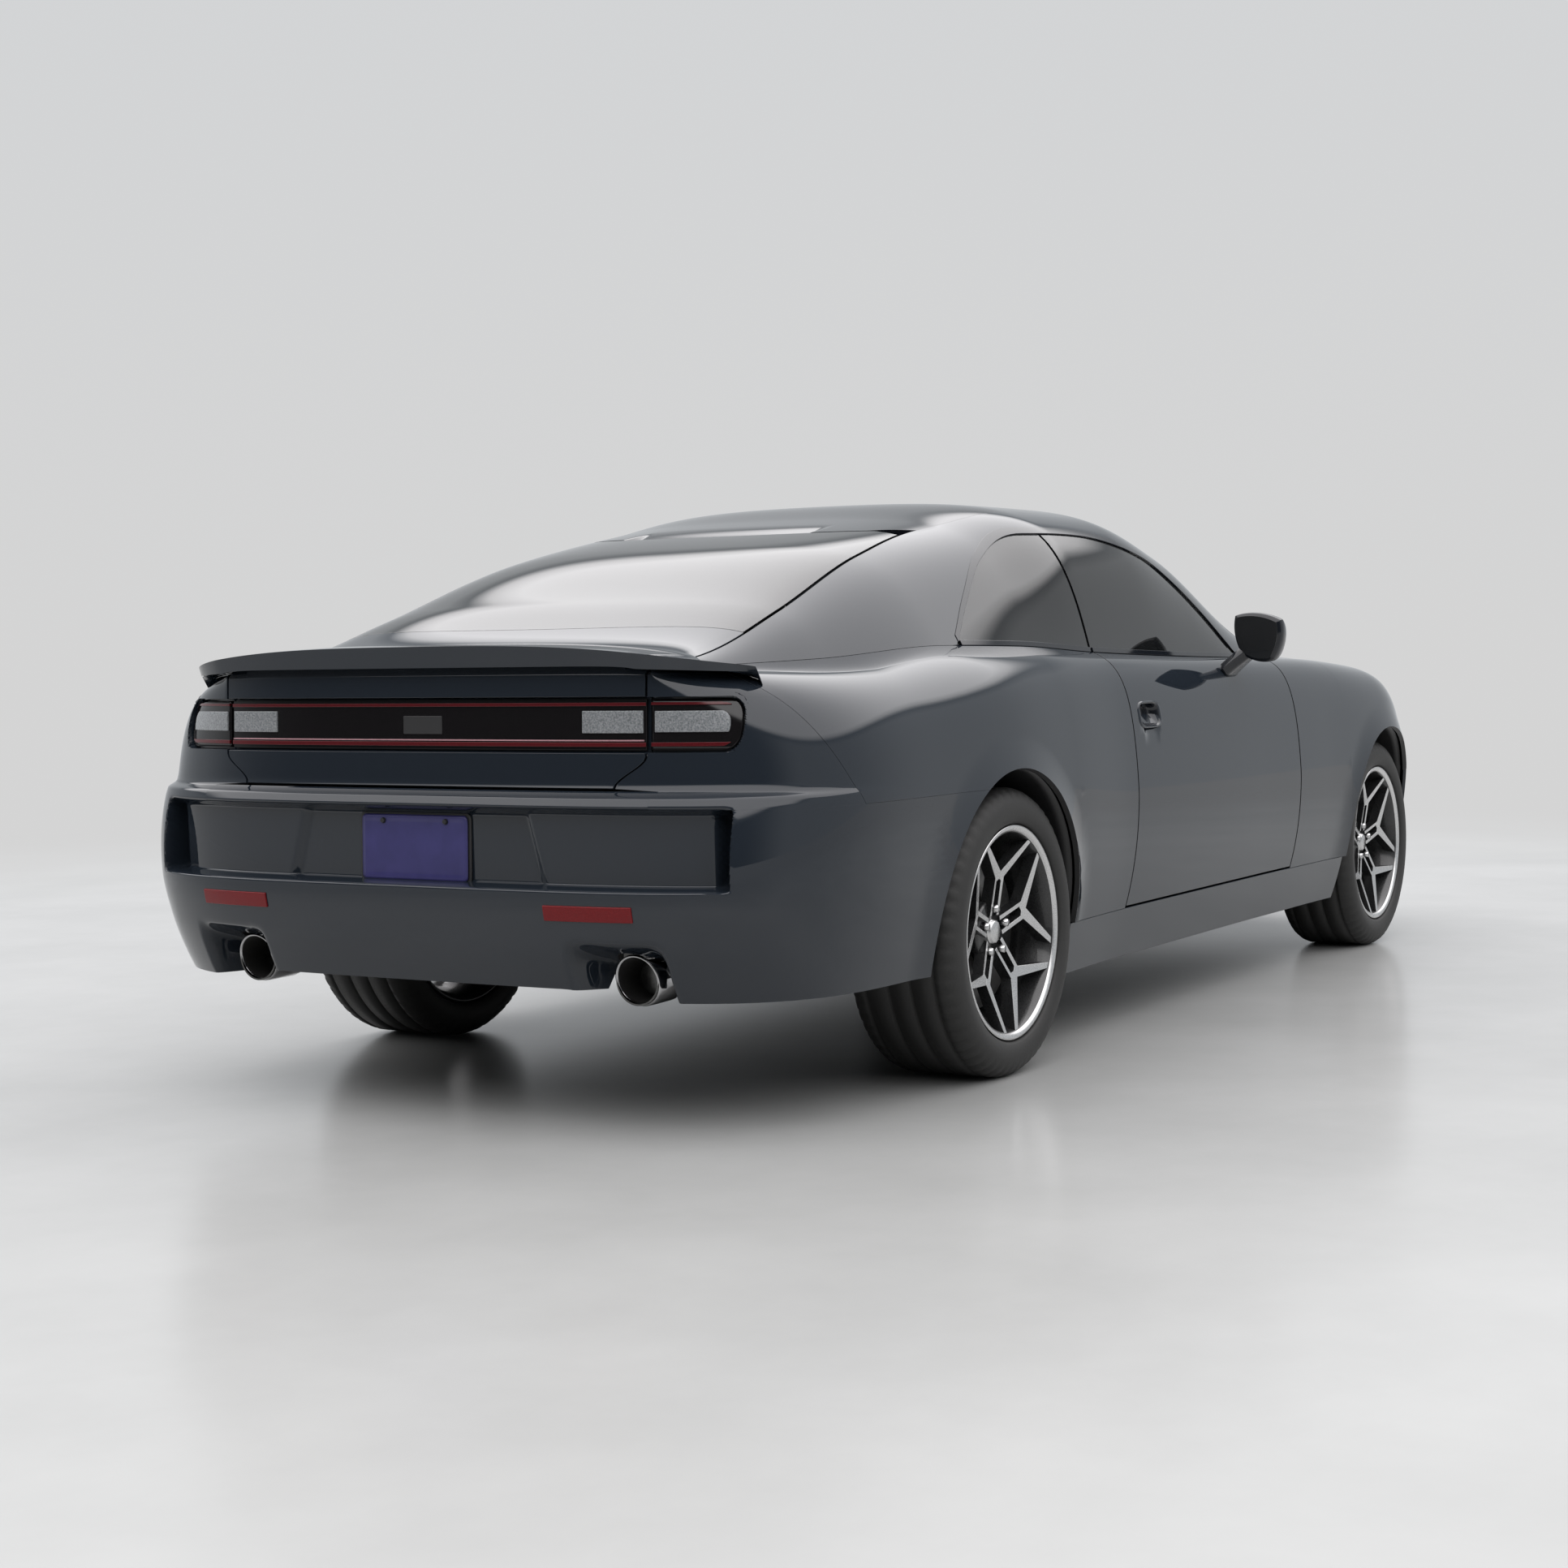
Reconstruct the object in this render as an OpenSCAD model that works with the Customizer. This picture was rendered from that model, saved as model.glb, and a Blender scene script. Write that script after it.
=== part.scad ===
// Two-door fastback muscle car: hollow body of separate panels, four road wheels,
// steered front knuckles, two doors, a bonnet and a liftback tailgate.
// Frame: +X forwards, +Y to the car's left, +Z up; the origin is on the ground under the middle.

/* [Overall] */
// Overall length
length = 5248; // [5100:1:5400]
// Overall body width without mirrors
width = 2028; // [1980:1:2080]
// Overall height
height = 1498; // [1470:1:1530]
// Distance between the axles
wheelbase = 3074; // [3020:1:3120]
// Front axle to the nose
front_overhang = 984; // [950:1:1020]
// Height of the beltline at the door
belt_h = 1040; // [1020:1:1055]
// Height of the underbody above the ground
clearance_h = 165; // [150:1:180]

/* [Wheels] */
// Outer diameter of the tyres
tyre_d = 722; // [710:1:730]
// Section width of the front tyres
front_tyre_w = 275; // [255:1:285]
// Section width of the rear tyres
rear_tyre_w = 305; // [285:1:305]
// Rim flange diameter
rim_d = 536; // [520:1:545]
// Distance between the front tyre centres
front_track = 1660; // [1640:1:1670]
// Distance between the rear tyre centres
rear_track = 1690; // [1680:1:1700]
// Number of forked spokes
spokes = 5; // [5:1:6]
// Hub bore diameter
hub_bore = 71.5; // [60:0.5:75]
// Brake disc diameter
disc_d = 390; // [340:1:400]
// Wheel arch radius
arch_r = 410; // [405:1:420]

/* [Panels] */
// Gap round the doors, bonnet and tailgate
shut = 6; // [5.5:0.1:8]
// Gap between panels bolted to each other
seam = 0.3; // [0.2:0.05:0.5]
// Thickness of an outer panel with its inner reinforcement
skin = 14; // [10:1:18]
// Thickness of the roof with its lining
roof_t = 34; // [26:1:40]
// Thickness of the glass
glass_t = 6; // [4:0.5:8]
// Distance of the glass behind the body surface
glass_in = 5; // [3:0.5:8]
// Distance of the inner face of the doors from the middle plane
door_in = 812; // [800:1:825]
// Distance of the door hinge axis behind the front edge of the door
hinge_back = 62; // [55:1:70]
// Depth of the door hinge axis behind the widest skin
hinge_in = 48; // [44:1:54]
// Radius of the hinge pins
pin_r = 8; // [6:0.5:9]
// Running clearance of the hinge pins
pin_fit = 0.05; // [0.02:0.01:0.08]

/* [Cabin] */
// Height of the cabin floor
floor_h = 300; // [280:1:320]
// Seat cushion width
seat_w = 520; // [480:1:540]
// Steering wheel diameter
steer_d = 360; // [340:1:380]

/* [Hidden] */
$fn = 48;
half_w = width / 2;
x_nose = length / 2;
x_tail = -length / 2;
x_fa = x_nose - front_overhang;
x_ra = x_fa - wheelbase;
wheel_z = tyre_d / 2;
sill_z = clearance_h + 35;
sill_top = sill_z + 145;

// Body side sections, nose to tail. Insets are measured in from half the width, heights from the ground.
// x, widest inset, widest z, sill extra inset, shoulder inset, shoulder z, belt inset, belt z
BODY = [
  [x_nose,        80, 570, 110, 140,  772, 300,  778],
  [x_fa + 560,    60, 590,  85,  96,  895, 265,  905],
  [x_fa,           8, 650,  70,  26, belt_h - 56, 240, belt_h - 46],
  [x_fa - 640,    24, 650,  75,  42, belt_h - 30, 190, belt_h - 20],
  [x_fa - 1250,   30, 650,  78,  50, belt_h - 32, 160, belt_h - 12],
  [x_fa - 2250,   28, 660,  78,  48, belt_h - 28, 165, belt_h + 12],
  [x_ra + 380,    12, 690,  76,  30, belt_h - 18, 185, belt_h + 32],
  [x_ra,           0, 710,  74,  16, belt_h - 12, 222, belt_h + 36],
  [x_ra - 460,     6, 730,  78,  26, belt_h - 18, 300, belt_h + 10],
  [x_ra - 850,     8, 735,  84,  34, belt_h - 24, 372, belt_h - 2],
  [x_tail,        10, 735,  90,  40, belt_h - 30, 420, belt_h - 12]];

// Bonnet along the middle plane: x, height, half width of the crown's corner
BONNET = [
  [x_nose,      height - 715, 420],
  [x_fa + 560,  height - 578, 520],
  [x_fa,        height - 484, 560],
  [x_fa - 640,  height - 444, 560],
  [x_fa - 1000, height - 434, 560]];

// Cabin along the middle plane: x, height, half width of the roof's corner
CABIN = [
  [x_fa - 480,  height - 580, 730],
  [x_fa - 1000, height - 290, 735],
  [x_fa - 1420, height - 75,  745],
  [x_fa - 1780, height - 3,   755],
  [x_fa - 2200, height - 6,   740],
  [x_fa - 2600, height - 66,  690],
  [x_ra,        height - 152, 640],
  [x_ra - 460,  height - 300, 630],
  [x_ra - 850,  height - 422, 600],
  [x_tail,      height - 464, 560]];

// Tail along the middle plane, top to bottom: height, distance in front of the tail
TAIL = [
  [1100, 105], [1030, 100], [780, 92], [745, 52], [545, 4], [437, 26], [335, 66], [200, 150]];

// Nose along the middle plane, top to bottom: height, distance behind the nose
NOSE = [
  [1000, 190], [820, 60], [760, 14], [640, 0], [430, 8], [300, 40], [190, 110]];

shoulder_k = 0.80;
roof_k = 0.92;
x_tail_corner = x_ra - 396;
x_nose_corner = x_fa + 60;
tail_power = 4;
nose_power = 2.3;

// Interpolation in a table whose first column falls: the row, its slopes and a monotone cubic
function clamp(x, lo, hi) = min(max(x, lo), hi);
function lerp(a, b, t) = a + (b - a) * t;
function steps(a, b, n) = [for (i = [0 : n]) lerp(a, b, i / n)];
function row_at(T, x, i = 0) = (i >= len(T) - 2 || x >= T[i + 1][0]) ? i : row_at(T, x, i + 1);
function rise(T, i, c) = (T[i + 1][c] - T[i][c]) / (T[i + 1][0] - T[i][0]);
function slope(T, i, c) =
  i == 0 ? rise(T, 0, c) :
  i == len(T) - 1 ? rise(T, i - 1, c) :
  let (a = rise(T, i - 1, c), b = rise(T, i, c),
       ha = T[i][0] - T[i - 1][0], hb = T[i + 1][0] - T[i][0],
       wa = 2 * hb + ha, wb = hb + 2 * ha)
  a * b <= 0 ? 0 : (wa + wb) / (wa / a + wb / b);
function look(T, x, c) =
  let (q = clamp(x, T[len(T) - 1][0], T[0][0]), i = row_at(T, q), h = T[i + 1][0] - T[i][0],
       t = (q - T[i][0]) / h, u = t * t, w = u * t)
  (2 * w - 3 * u + 1) * T[i][c] + (w - 2 * u + t) * h * slope(T, i, c)
  + (3 * u - 2 * w) * T[i + 1][c] + (w - u) * h * slope(T, i + 1, c);
function bezier(a, b, c, d, t) =
  let (s = 1 - t) s * s * s * a + 3 * s * s * t * b + 3 * s * t * t * c + t * t * t * d;
// The value where a rising function reaches a goal
function solve(f, goal, lo, hi, n = 18) =
  let (m = (lo + hi) / 2) n == 0 ? m : f(m) < goal ? solve(f, goal, m, hi, n - 1) : solve(f, goal, lo, m, n - 1);

// Plan rounding of the tail and the nose at a height
function tail_x(z) = x_tail + look(TAIL, z, 1);
function nose_x(z) = x_nose - look(NOSE, z, 1);
function plan(x, z) =
  x < x_tail_corner ?
    pow(max(0, 1 - pow(min(1, (x_tail_corner - x) / (x_tail_corner - tail_x(z))), tail_power)), 1 / tail_power) :
  x > x_nose_corner ?
    pow(max(0, 1 - pow(min(1, (x - x_nose_corner) / (nose_x(z) - x_nose_corner)), nose_power)), 1 / nose_power) :
  1;

// Body side: v runs 0 to 1 from the sill to the widest line and 1 to 2 over the shoulder to the beltline
function belt_y(x) = half_w - look(BODY, x, 6);
function belt_z(x) = look(BODY, x, 7);
function side_z(x, v) =
  let (zw = look(BODY, x, 2), zs = look(BODY, x, 5), zb = belt_z(x))
  v < 1 ? lerp(sill_z, zw, v) :
  bezier(zw, lerp(zw, zs, shoulder_k), lerp(zb, zs, shoulder_k), zb, v - 1);
function side_y(x, v) =
  let (w = half_w - look(BODY, x, 1), z = side_z(x, v), f = plan(x, z),
       ys = (half_w - look(BODY, x, 4)) * f, yb = min(belt_y(x), ys - 4), wf = w * f)
  v < 1 ? wf - look(BODY, x, 3) * pow(1 - v, 2.2) * f :
  bezier(wf, lerp(wf, ys, shoulder_k), lerp(yb, ys, shoulder_k), yb, v - 1);
function side(x, v) = [x, side_y(x, v), side_z(x, v)];
function side_v(x, z) =
  z <= look(BODY, x, 2) ? (z - sill_z) / (look(BODY, x, 2) - sill_z) :
  solve(function (v) side_z(x, v), z, 1, 2);

// Roof, glass and bonnet: t runs 0 to 1 from the beltline to the middle plane
function top_y(T, x, t) = let (yb = belt_y(x), c = look(T, x, 2)) bezier(yb, lerp(yb, c, roof_k), c * roof_k, 0, t);
function top_z(T, x, t) = let (zb = belt_z(x), z = look(T, x, 1)) bezier(zb, lerp(zb, z, roof_k), z, z, t);
function top(T, x, t) = [x, top_y(T, x, t), top_z(T, x, t)];
function t_of_y(T, x, y) = solve(function (t) -top_y(T, x, t), -y, 0, 1);
function t_of_z(T, x, z) = solve(function (t) top_z(T, x, t), z, 0, 1);
function over(T, x, y) = [x, y, top_z(T, x, t_of_y(T, x, abs(y)))];

// A point moved into the car, square to a surface whose parameters run along x and up the left side
function inward(P, a, b, d, ea = 2, eb = 0.01) =
  let (n = cross(P(a + ea, b) - P(a - ea, b), P(a, b + eb) - P(a, b - eb)), m = [0, n[1], n[2]]) P(a, b) + d * m / norm(m);

// The inner side of a wall: its lowest row keeps the height of the skin
function lining(x, v, d, foot, dx = 0) =
  let (S = function (a, b) side(a, b), q = inward(S, x + dx, v, d)) foot ? [q[0], q[1], side_z(x, v)] : q;
// A point on a slanting edge, given as x by height, with rows from a foot height to the beltline
function on_edge(xe, foot, r) =
  let (a = xe(700), b = xe(side_z(a, lerp(side_v(a, foot), 2, r))), c = xe(side_z(b, lerp(side_v(b, foot), 2, r))))
  [c, lerp(side_v(c, foot), 2, r)];

// A closed solid between two grids of points, with its rim walls; wrap joins the last column to the first
module slab(outer, inner, wrap = false) {
  n = len(outer);
  m = len(outer[0]);
  last = wrap ? n - 1 : n - 2;
  all = n * m;
  points = concat([for (c = outer) each c], [for (c = inner) each c]);
  function id(i, j) = (i % n) * m + j;
  skin_faces = [for (i = [0 : last], j = [0 : m - 2])
    each [[id(i, j), id(i + 1, j), id(i + 1, j + 1)], [id(i, j), id(i + 1, j + 1), id(i, j + 1)]]];
  lining_faces = [for (f = skin_faces) [f[0] + all, f[2] + all, f[1] + all]];
  rim_faces = [for (i = [0 : last], s = [0, 1])
    let (j = s * (m - 1), a = id(i, j), b = id(i + 1, j))
    each s == 0 ? [[a, b + all, b], [a, a + all, b + all]] : [[a, b, b + all], [a, b + all, a + all]]];
  end_faces = wrap ? [] : [for (j = [0 : m - 2], s = [0, 1])
    let (i = s * (n - 1), a = id(i, j), b = id(i, j + 1))
    each s == 0 ? [[a, b, b + all], [a, b + all, a + all]] : [[a, b + all, b], [a, a + all, b + all]]];
  polyhedron(points, concat(skin_faces, lining_faces, rim_faces, end_faces));
}
module right() mirror([0, 1, 0]) children();

// Shut lines and edges
x_hinge = x_fa - 962;
y_hinge = half_w - 26 - hinge_in;
function door_front(z) = x_hinge + hinge_back - 0.0002 * pow(z - 690, 2);
function door_rear(z) = x_fa - 2250 - (z < 760 ? 0.00016 : 0.00004) * pow(z - 760, 2);
x_rear_arch = x_ra - 20;
function arch_z(x, c) = wheel_z + sqrt(max(0, arch_r * arch_r - (x - c) * (x - c)));
function arch_x(z) = sqrt(max(0, arch_r * arch_r - pow(z - wheel_z, 2)));
quarter_low = 728;
lamp_low = 705;
lamp_top = 765;
x_split = x_fa + 330;
// The quarter panel's edge to the bumper leans back as it climbs
function quarter_end(z) = lerp(x_ra - 770, x_ra - 925, clamp((z - quarter_low) / 270, 0, 1));

// Inner edge of the side frame, shared with the windscreen, the roof and the tailgate: x, inset from half the width
EDGE = [
  [x_fa - 820,  205], [x_fa - 1080, 238], [x_fa - 1440, 345], [x_fa - 1790, 438], [x_fa - 2240, 452],
  [x_fa - 2720, 486], [x_ra, 456], [x_ra - 630, 414], [x_ra - 1050, 404]];
function edge_y(x) = half_w - look(EDGE, x, 1);
// Upper edge of the side windows: x, height above the beltline
WINDOW = [
  [x_fa - 1090, 0], [x_fa - 1300, 145], [x_fa - 1640, 300], [x_fa - 2000, 345], [x_fa - 2350, 330],
  [x_fa - 2650, 235], [x_fa - 2850, 115], [x_fa - 3000, 0]];
function window_t(x) = let (h = look(WINDOW, x, 1)) h <= 0.5 ? 0 : t_of_z(CABIN, x, belt_z(x) + h);

// Front and rear edges of the roof and the two screens; r runs -1 to 1 across the car
function header_x(r) = x_fa - 1510 - 200 * r * r;
function screen_x(r) = x_fa - 730 - 118 * r * r;
function tailgate_x(r) = x_ra + 167 + 187 * pow(abs(r), 3);
function screen_foot_x(r) = x_ra - 655 + 30 * r * r;
function roof_gap(r) = 16 + 18 * ease((abs(r) - 0.8) / 0.1);
function across(x, r, gap) = over(CABIN, x, -r * (edge_y(x) - gap));

// Body side panels, written for the left and mirrored for the right
module fender() {
  lo = function (x) x < x_fa - arch_r ? sill_top + seam : x <= x_split ? arch_z(x, x_fa) : x < x_split + 59 ? lamp_low + seam : lamp_top + seam;
  cols = concat(steps(0, 1, 2), [for (a = [170 : -20 : 50]) x_fa + arch_r * cos(a)], [x_fa + arch_r * cos(42), x_split, x_split + 1],
    [x_split + 58, x_split + 60], steps(x_split + 130, x_nose - 290, 3));
  at = function (c, r) c <= 1 ? on_edge(function (z) lerp(door_front(z) + shut + 1, x_fa - arch_r - 1, c), sill_top + seam, r) :
    [c, lerp(side_v(c, lo(c)), 2, r)];
  rows = steps(0, 1, 8);
  slab([for (c = cols) [for (r = rows) let (p = at(c, r)) side(p[0], p[1])]],
       [for (c = cols) [for (r = rows) let (p = at(c, r)) lining(p[0], p[1], skin, r == 0, c == 0 ? 14 : 0)]]);
}
module quarter() {
  cols = concat(steps(3, 2.2, 4), [for (a = [140 : -15 : 5]) x_rear_arch + arch_r * cos(a)], steps(1, 0, 3));
  x_back = x_rear_arch + arch_r * cos(140);
  x_in = x_rear_arch + arch_r + 1;
  at = function (c, r)
    c < -10 ? [c, lerp(side_v(c, max(arch_z(c, x_rear_arch), quarter_low + seam)), 2, r)] :
    c >= 2 ? on_edge(function (z) lerp(x_back, quarter_end(z), c - 2), quarter_low + seam, r) :
    on_edge(function (z) lerp(door_rear(z) - shut, x_in, c), sill_top + seam, r);
  rows = steps(0, 1, 9);
  slab([for (c = cols) [for (r = rows) let (p = at(c, r)) side(p[0], p[1])]],
       [for (c = cols) [for (r = rows) let (p = at(c, r)) lining(p[0], p[1], skin, r == 0, c == 0 ? -16 : c == 3 ? 11 : 0)]]);
}
module door() {
  rows = steps(0, 1, 9);
  face_x = x_hinge - 45;
  cols = [0, 0.14, 0.28, 0.42, 0.56, 0.7, 0.84, 1, 1.01, 1.5, 2];
  at = function (c, r) on_edge(function (z) c <= 1 ? lerp(door_rear(z), face_x - 8, c) : c < 1.4 ? face_x : lerp(face_x, door_front(z), c - 1), sill_top + shut, r);
  difference() {
    union() {
      slab([for (c = cols) [for (r = rows) let (p = at(c, r)) side(p[0], p[1])]],
           [for (c = cols) [for (r = rows) let (p = at(c, r), q = side(p[0], p[1]))
             c > 1 ? lining(p[0], p[1], 11, r == 0, c == 2 ? -6 : 0) : [p[0] + (c == 0 ? 26 : 0), door_in, q[2]]]]);
      for (z = [430, 780]) {
        translate([x_hinge, y_hinge, z]) cylinder(r = pin_r + 8, h = 44);
        translate([x_hinge - 75, y_hinge - 14, z]) cube([75, 28, 44]);
      }
    }
    translate([x_hinge, y_hinge, 400]) cylinder(r = pin_r + pin_fit, h = 460);
  }
}
// Stations shared by the side frame and the glass and panels that it meets
gate_xs = [for (c = steps(0, 1, 9)) lerp(screen_foot_x(1), tailgate_x(1), c)];
roof_xs = [for (c = steps(0, 1, 9)) lerp(tailgate_x(1) + roof_gap(1), header_x(1), c)];
screen_xs = [for (c = steps(0, 1, 8)) lerp(header_x(1) + seam, screen_x(1), c)];
frame_xs = concat(steps(x_ra - 890, screen_foot_x(1) - 60, 3), gate_xs, roof_xs, screen_xs);
function between(a, b) = concat([a], [for (x = frame_xs) if (x > a + 8 && x < b - 8) x], [b]);
module side_glass(x0, x1, gap, foot) {
  cols = between(x0, x1);
  rows = steps(0, 1, 4);
  P = function (x, r, d) let (z0 = belt_z(x) + foot, z1 = max(z0 + 5, belt_z(x) + look(WINDOW, x, 1) - gap),
    p = top(CABIN, x, t_of_z(CABIN, x, lerp(z0, z1, r)))) p - [0, d, 0];
  slab([for (c = cols) [for (r = rows) P(c, r, glass_in)]], [for (c = cols) [for (r = rows) P(c, r, glass_in + glass_t)]]);
}
module door_window() side_glass(x_fa - 2249, x_fa - 1110, shut + 1, 0.6);
module quarter_window() side_glass(x_fa - 2985, x_fa - 2262, 0.8, 0.6);
// Windscreen pillar, roof rail and rear pillar of one side
module side_frame() {
  rows = steps(0, 1, 4);
  at = function (x, r) let (h = look(WINDOW, x, 1), lift = x > x_fa - 1190 && h < shut + 40 ? shut : 0.6,
    a = t_of_z(CABIN, x, belt_z(x) + max(h, lift)), b = t_of_y(CABIN, x, edge_y(x))) lerp(a, max(b, a + 0.02), r);
  P = function (x, t) top(CABIN, x, t);
  slab([for (c = frame_xs) [for (r = rows) P(c, at(c, r))]],
       [for (c = frame_xs) [for (r = rows) P(c, at(c, r)) + lerp([0, -28, 0], [0, 0, -30], r)]]);
}
module sill() {
  cols = steps(x_rear_arch + arch_r + 2, x_fa - arch_r - 2, 10);
  rows = steps(0, 1, 4);
  slab([for (c = cols) [for (r = rows) side(c, r * side_v(c, sill_top))]],
       [for (c = cols) [for (r = rows) let (q = side(c, r * side_v(c, sill_top))) [c, door_in, q[2]]]]);
}

// Panels that run across the car
module roof_panel_shape() {
  rr = steps(-1, 1, 12);
  cols = steps(0, 1, 9);
  P = function (c, r) let (x = lerp(tailgate_x(r) + roof_gap(r), header_x(r), c)) across(x, r, seam);
  slab([for (c = cols) [for (r = rr) P(c, r)]],
       [for (c = cols) [for (r = rr) P(c, r) + [c == 0 ? 34 : 0, 0, -roof_t]]]);
}
module windshield() color("#15191c")  {
  rr = steps(-1, 1, 12);
  cols = steps(0, 1, 8);
  P = function (c, r, d) let (x = lerp(header_x(r) + seam, screen_x(r), c), p = across(x, r, seam)) p - [0, 0, d];
  slab([for (c = cols) [for (r = rr) P(c, r, 0)]], [for (c = cols) [for (r = rr) P(c, r, glass_t)]]);
}
module hatch_glass() color("#15191c") {
  rr = steps(-1, 1, 12);
  cols = steps(0, 1, 9);
  P = function (c, r, d) let (x = lerp(screen_foot_x(r), glass_top(r), c)) across(x, r, shut + 3) - [0, 0, d];
  slab([for (c = cols) [for (r = rr) P(c, r, 0)]], [for (c = cols) [for (r = rr) P(c, r, glass_t)]]);
}

// Tail and nose: columns run round the corner by angle, a from -90 (right end) to 90 (left end), rows by height
function wrap_x(a, z, back, x_from) =
  let (c = back ? x_tail_corner : x_nose_corner, e = back ? tail_x(z) : nose_x(z), q = 2 / (back ? tail_power : nose_power),
       s0 = pow(clamp((x_from - c) / (e - c), 0, 1), 1 / q), a0 = asin(s0),
       // the straight run between the corner's start and an edge beyond it
       run = (x_from - c) * (e - c) < 0 ? x_from - c : 0, bend = 90 - 10 * clamp(abs(run) / 200, 0, 1))
  c + (e - c) * pow(max(0, sin(lerp(90, a0, min(1, abs(a) / bend)))), q) + (abs(a) > bend ? run * (abs(a) - bend) / (90 - bend) : 0);
function wrap(a, z, back, x_from) =
  let (x = wrap_x(a, z, back, x_from), y = abs(a) < 0.01 ? 0 : side_y(x, clamp(side_v(x, z), 0, 1.98)))
  [x, a < 0 ? -y : y, z];
// The point of the tail or the nose at a given y and height
function wrap_at(y, z, back) =
  let (a = solve(function (a) wrap(a, z, back, back ? x_tail_corner : x_nose_corner)[1], abs(y), 0, 90), p = wrap(a, z, back, back ? x_tail_corner : x_nose_corner))
  [p[0], y, z];
function ease(x) = let (t = clamp(x, 0, 1)) t * t * (3 - 2 * t);
// Depth of the plate recess and of the lower ledge in the rear bumper
function rear_recess(y, z) =
  (z > 556 && z < 715 ? 62 : z > 545 && z < 735 ? 20 : 0) * ease((860 - abs(y)) / 60);
tip_y = 554;
tip_z = 343;
tip_r = 57;
x_tip = x_tail + 150;
function rear_low(y) = 300 + (abs(abs(y) - tip_y) < 84 ? sqrt(84 * 84 - pow(abs(y) - tip_y, 2)) * 1.25 : 0) + 25 * ease((600 - abs(y)) / 200);
// Scoop in the bumper round each exhaust tip
function tip_scoop(y, z) = 120 * ease((125 - abs(abs(y) - tip_y)) / 60) * ease((440 - z) / 70);
module rear_bumper_shape() {
  half = [90, 85, 80, 70, 60, 52, 45, 41, 38, 35, 32.5, 30, 27.5, 25, 22, 19, 15, 8];
  cols = concat([for (a = half) -a], [0], [for (i = [len(half) - 1 : -1 : 0]) half[i]]);
  heights = [0, 0.2, 0.4, 437, 500, 544, 557, 600, 660, 714, quarter_low - 0.3];
  zz = function (a, h) h < 1 ? let (y = wrap(a, 330, true, x_rear_arch - arch_r)[1]) lerp(rear_low(y), 437, h / 0.6) : h;
  P = function (a, h) let (z = zz(a, h), p = wrap(a, z, true, x_rear_arch - arch_x(z) - 1)) p + [rear_recess(p[1], z) + tip_scoop(p[1], z), 0, 0];
  in = function (p) let (k = (abs(p[1]) > 700 ? ease((abs(p[1]) - 700) / 200) : 0)) p + [34 * (1 - k), p[1] > 0 ? -16 * k : 16 * k, 0];
  slab([for (a = cols) [for (h = heights) P(a, h)]], [for (a = cols) [for (h = heights) in(P(a, h))]]);
}
// Ledge over the recess, up to the tailgate's lower edge
ledge_half = 640;
module rear_ledge() {
  ys = steps(-ledge_half + seam, ledge_half - seam, 12);
  zs = [quarter_low, 736, 751, 766];
  P = function (y, z) wrap_at(y, z, true) + [rear_recess(y, z), 0, 0];
  slab([for (y = ys) [for (z = zs) P(y, z)]], [for (y = ys) [for (z = zs) P(y, z) + [34, 0, 0]]]);
}
// Corner of the tail round the lamp, from the quarter panel to the tailgate
function gate_half(z) = lerp(530, hatch_half(deck_x), ease((z - 772) / 70));
function corner(c, z) =
  let (y0 = z < 769 ? ledge_half : gate_half(z) + lerp(15, 8, ease((z - 800) / 50)), xq = quarter_end(z) - 3, a0 = solve(function (a) wrap(a, z, true, xq)[1], y0, 0, 90)) wrap(lerp(a0, 90, c), z, true, xq);
module tail_corner() {
  cols = [0, 0.12, 0.25, 0.4, 0.55, 0.7, 0.79, 0.8, 0.9, 1];
  zs = [quarter_low, 745, 766, 772, 790, 807, 825, 842, 849, 851, 910, 971, 973, 998, 1022];
  P = function (c, z) let (p = corner(c, z)) p + [(c < 0.795 && z > 850 && z < 972 ? 26 : 0) + rear_recess(p[1], z), 0, 0];
  slab([for (c = cols) [for (z = zs) P(c, z)]], [for (c = cols) [for (z = zs) P(c, z) + [40 * (1 - c), -34 * c, 0]]]);
}
module rear_bumper() color("#1b1d20") { rear_bumper_shape(); rear_ledge(); tail_corner(); right() tail_corner(); }
// Lamp in the corner recess
module tail_lamp() {
  cols = [0.01, 0.12, 0.25, 0.4, 0.55, 0.7, 0.77];
  zs = [854, 910, 968];
  slab([for (c = cols) [for (z = zs) corner(c, z) + [10, 0, 0]]], [for (c = cols) [for (z = zs) corner(c, z) + [25.4, 0, 0]]]);
}
module reflector() {
  cols = steps(617, 400, 4);
  zs = [483, 518];
  slab([for (y = [for (i = [4 : -1 : 0]) cols[i]]) [for (z = zs) wrap_at(y, z, true) - [8, 0, 0]]], [for (y = [for (i = [4 : -1 : 0]) cols[i]]) [for (z = zs) wrap_at(y, z, true) - [0.9, 0, 0]]]);
}
module tail_lamps() color("#5a0d10") { tail_lamp(); right() tail_lamp(); reflector(); right() reflector(); }

// Tailgate: rear face, deck and the frame under the glass. It turns on a short pin at each upper corner.
gate_pin = 4;
x_gate = tailgate_x(1) - 15;
z_gate = across(x_gate, 1, shut)[2] - 7.5;
function glass_top(r) = min(tailgate_x(r), x_gate - 48);
deck_x = tail_x(1010) + 8;
gate_top = 1024;
function hatch_half(x) = edge_y(x) - shut;
function gate(c, r) =
  c < 1 ? let (z = lerp(772, gate_top, c)) wrap_at(-r * gate_half(z), z, true) :
  let (y = -r * hatch_half(deck_x), x0 = wrap_at(y, gate_top, true)[0] + 14, x = lerp(x0, screen_foot_x(r) - 0.8, c - 1), q = over(CABIN, x, -r * hatch_half(x)))
  [x, q[1], max(q[2], gate_top + 6)];
function gate_in(c, r) = gate(c, r) + (c < 1 ? [lerp(26, 30, c), 0, 0] : [(c == 1 ? 24 : 0), 0, c == 1 ? -20 : -26]);
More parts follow.
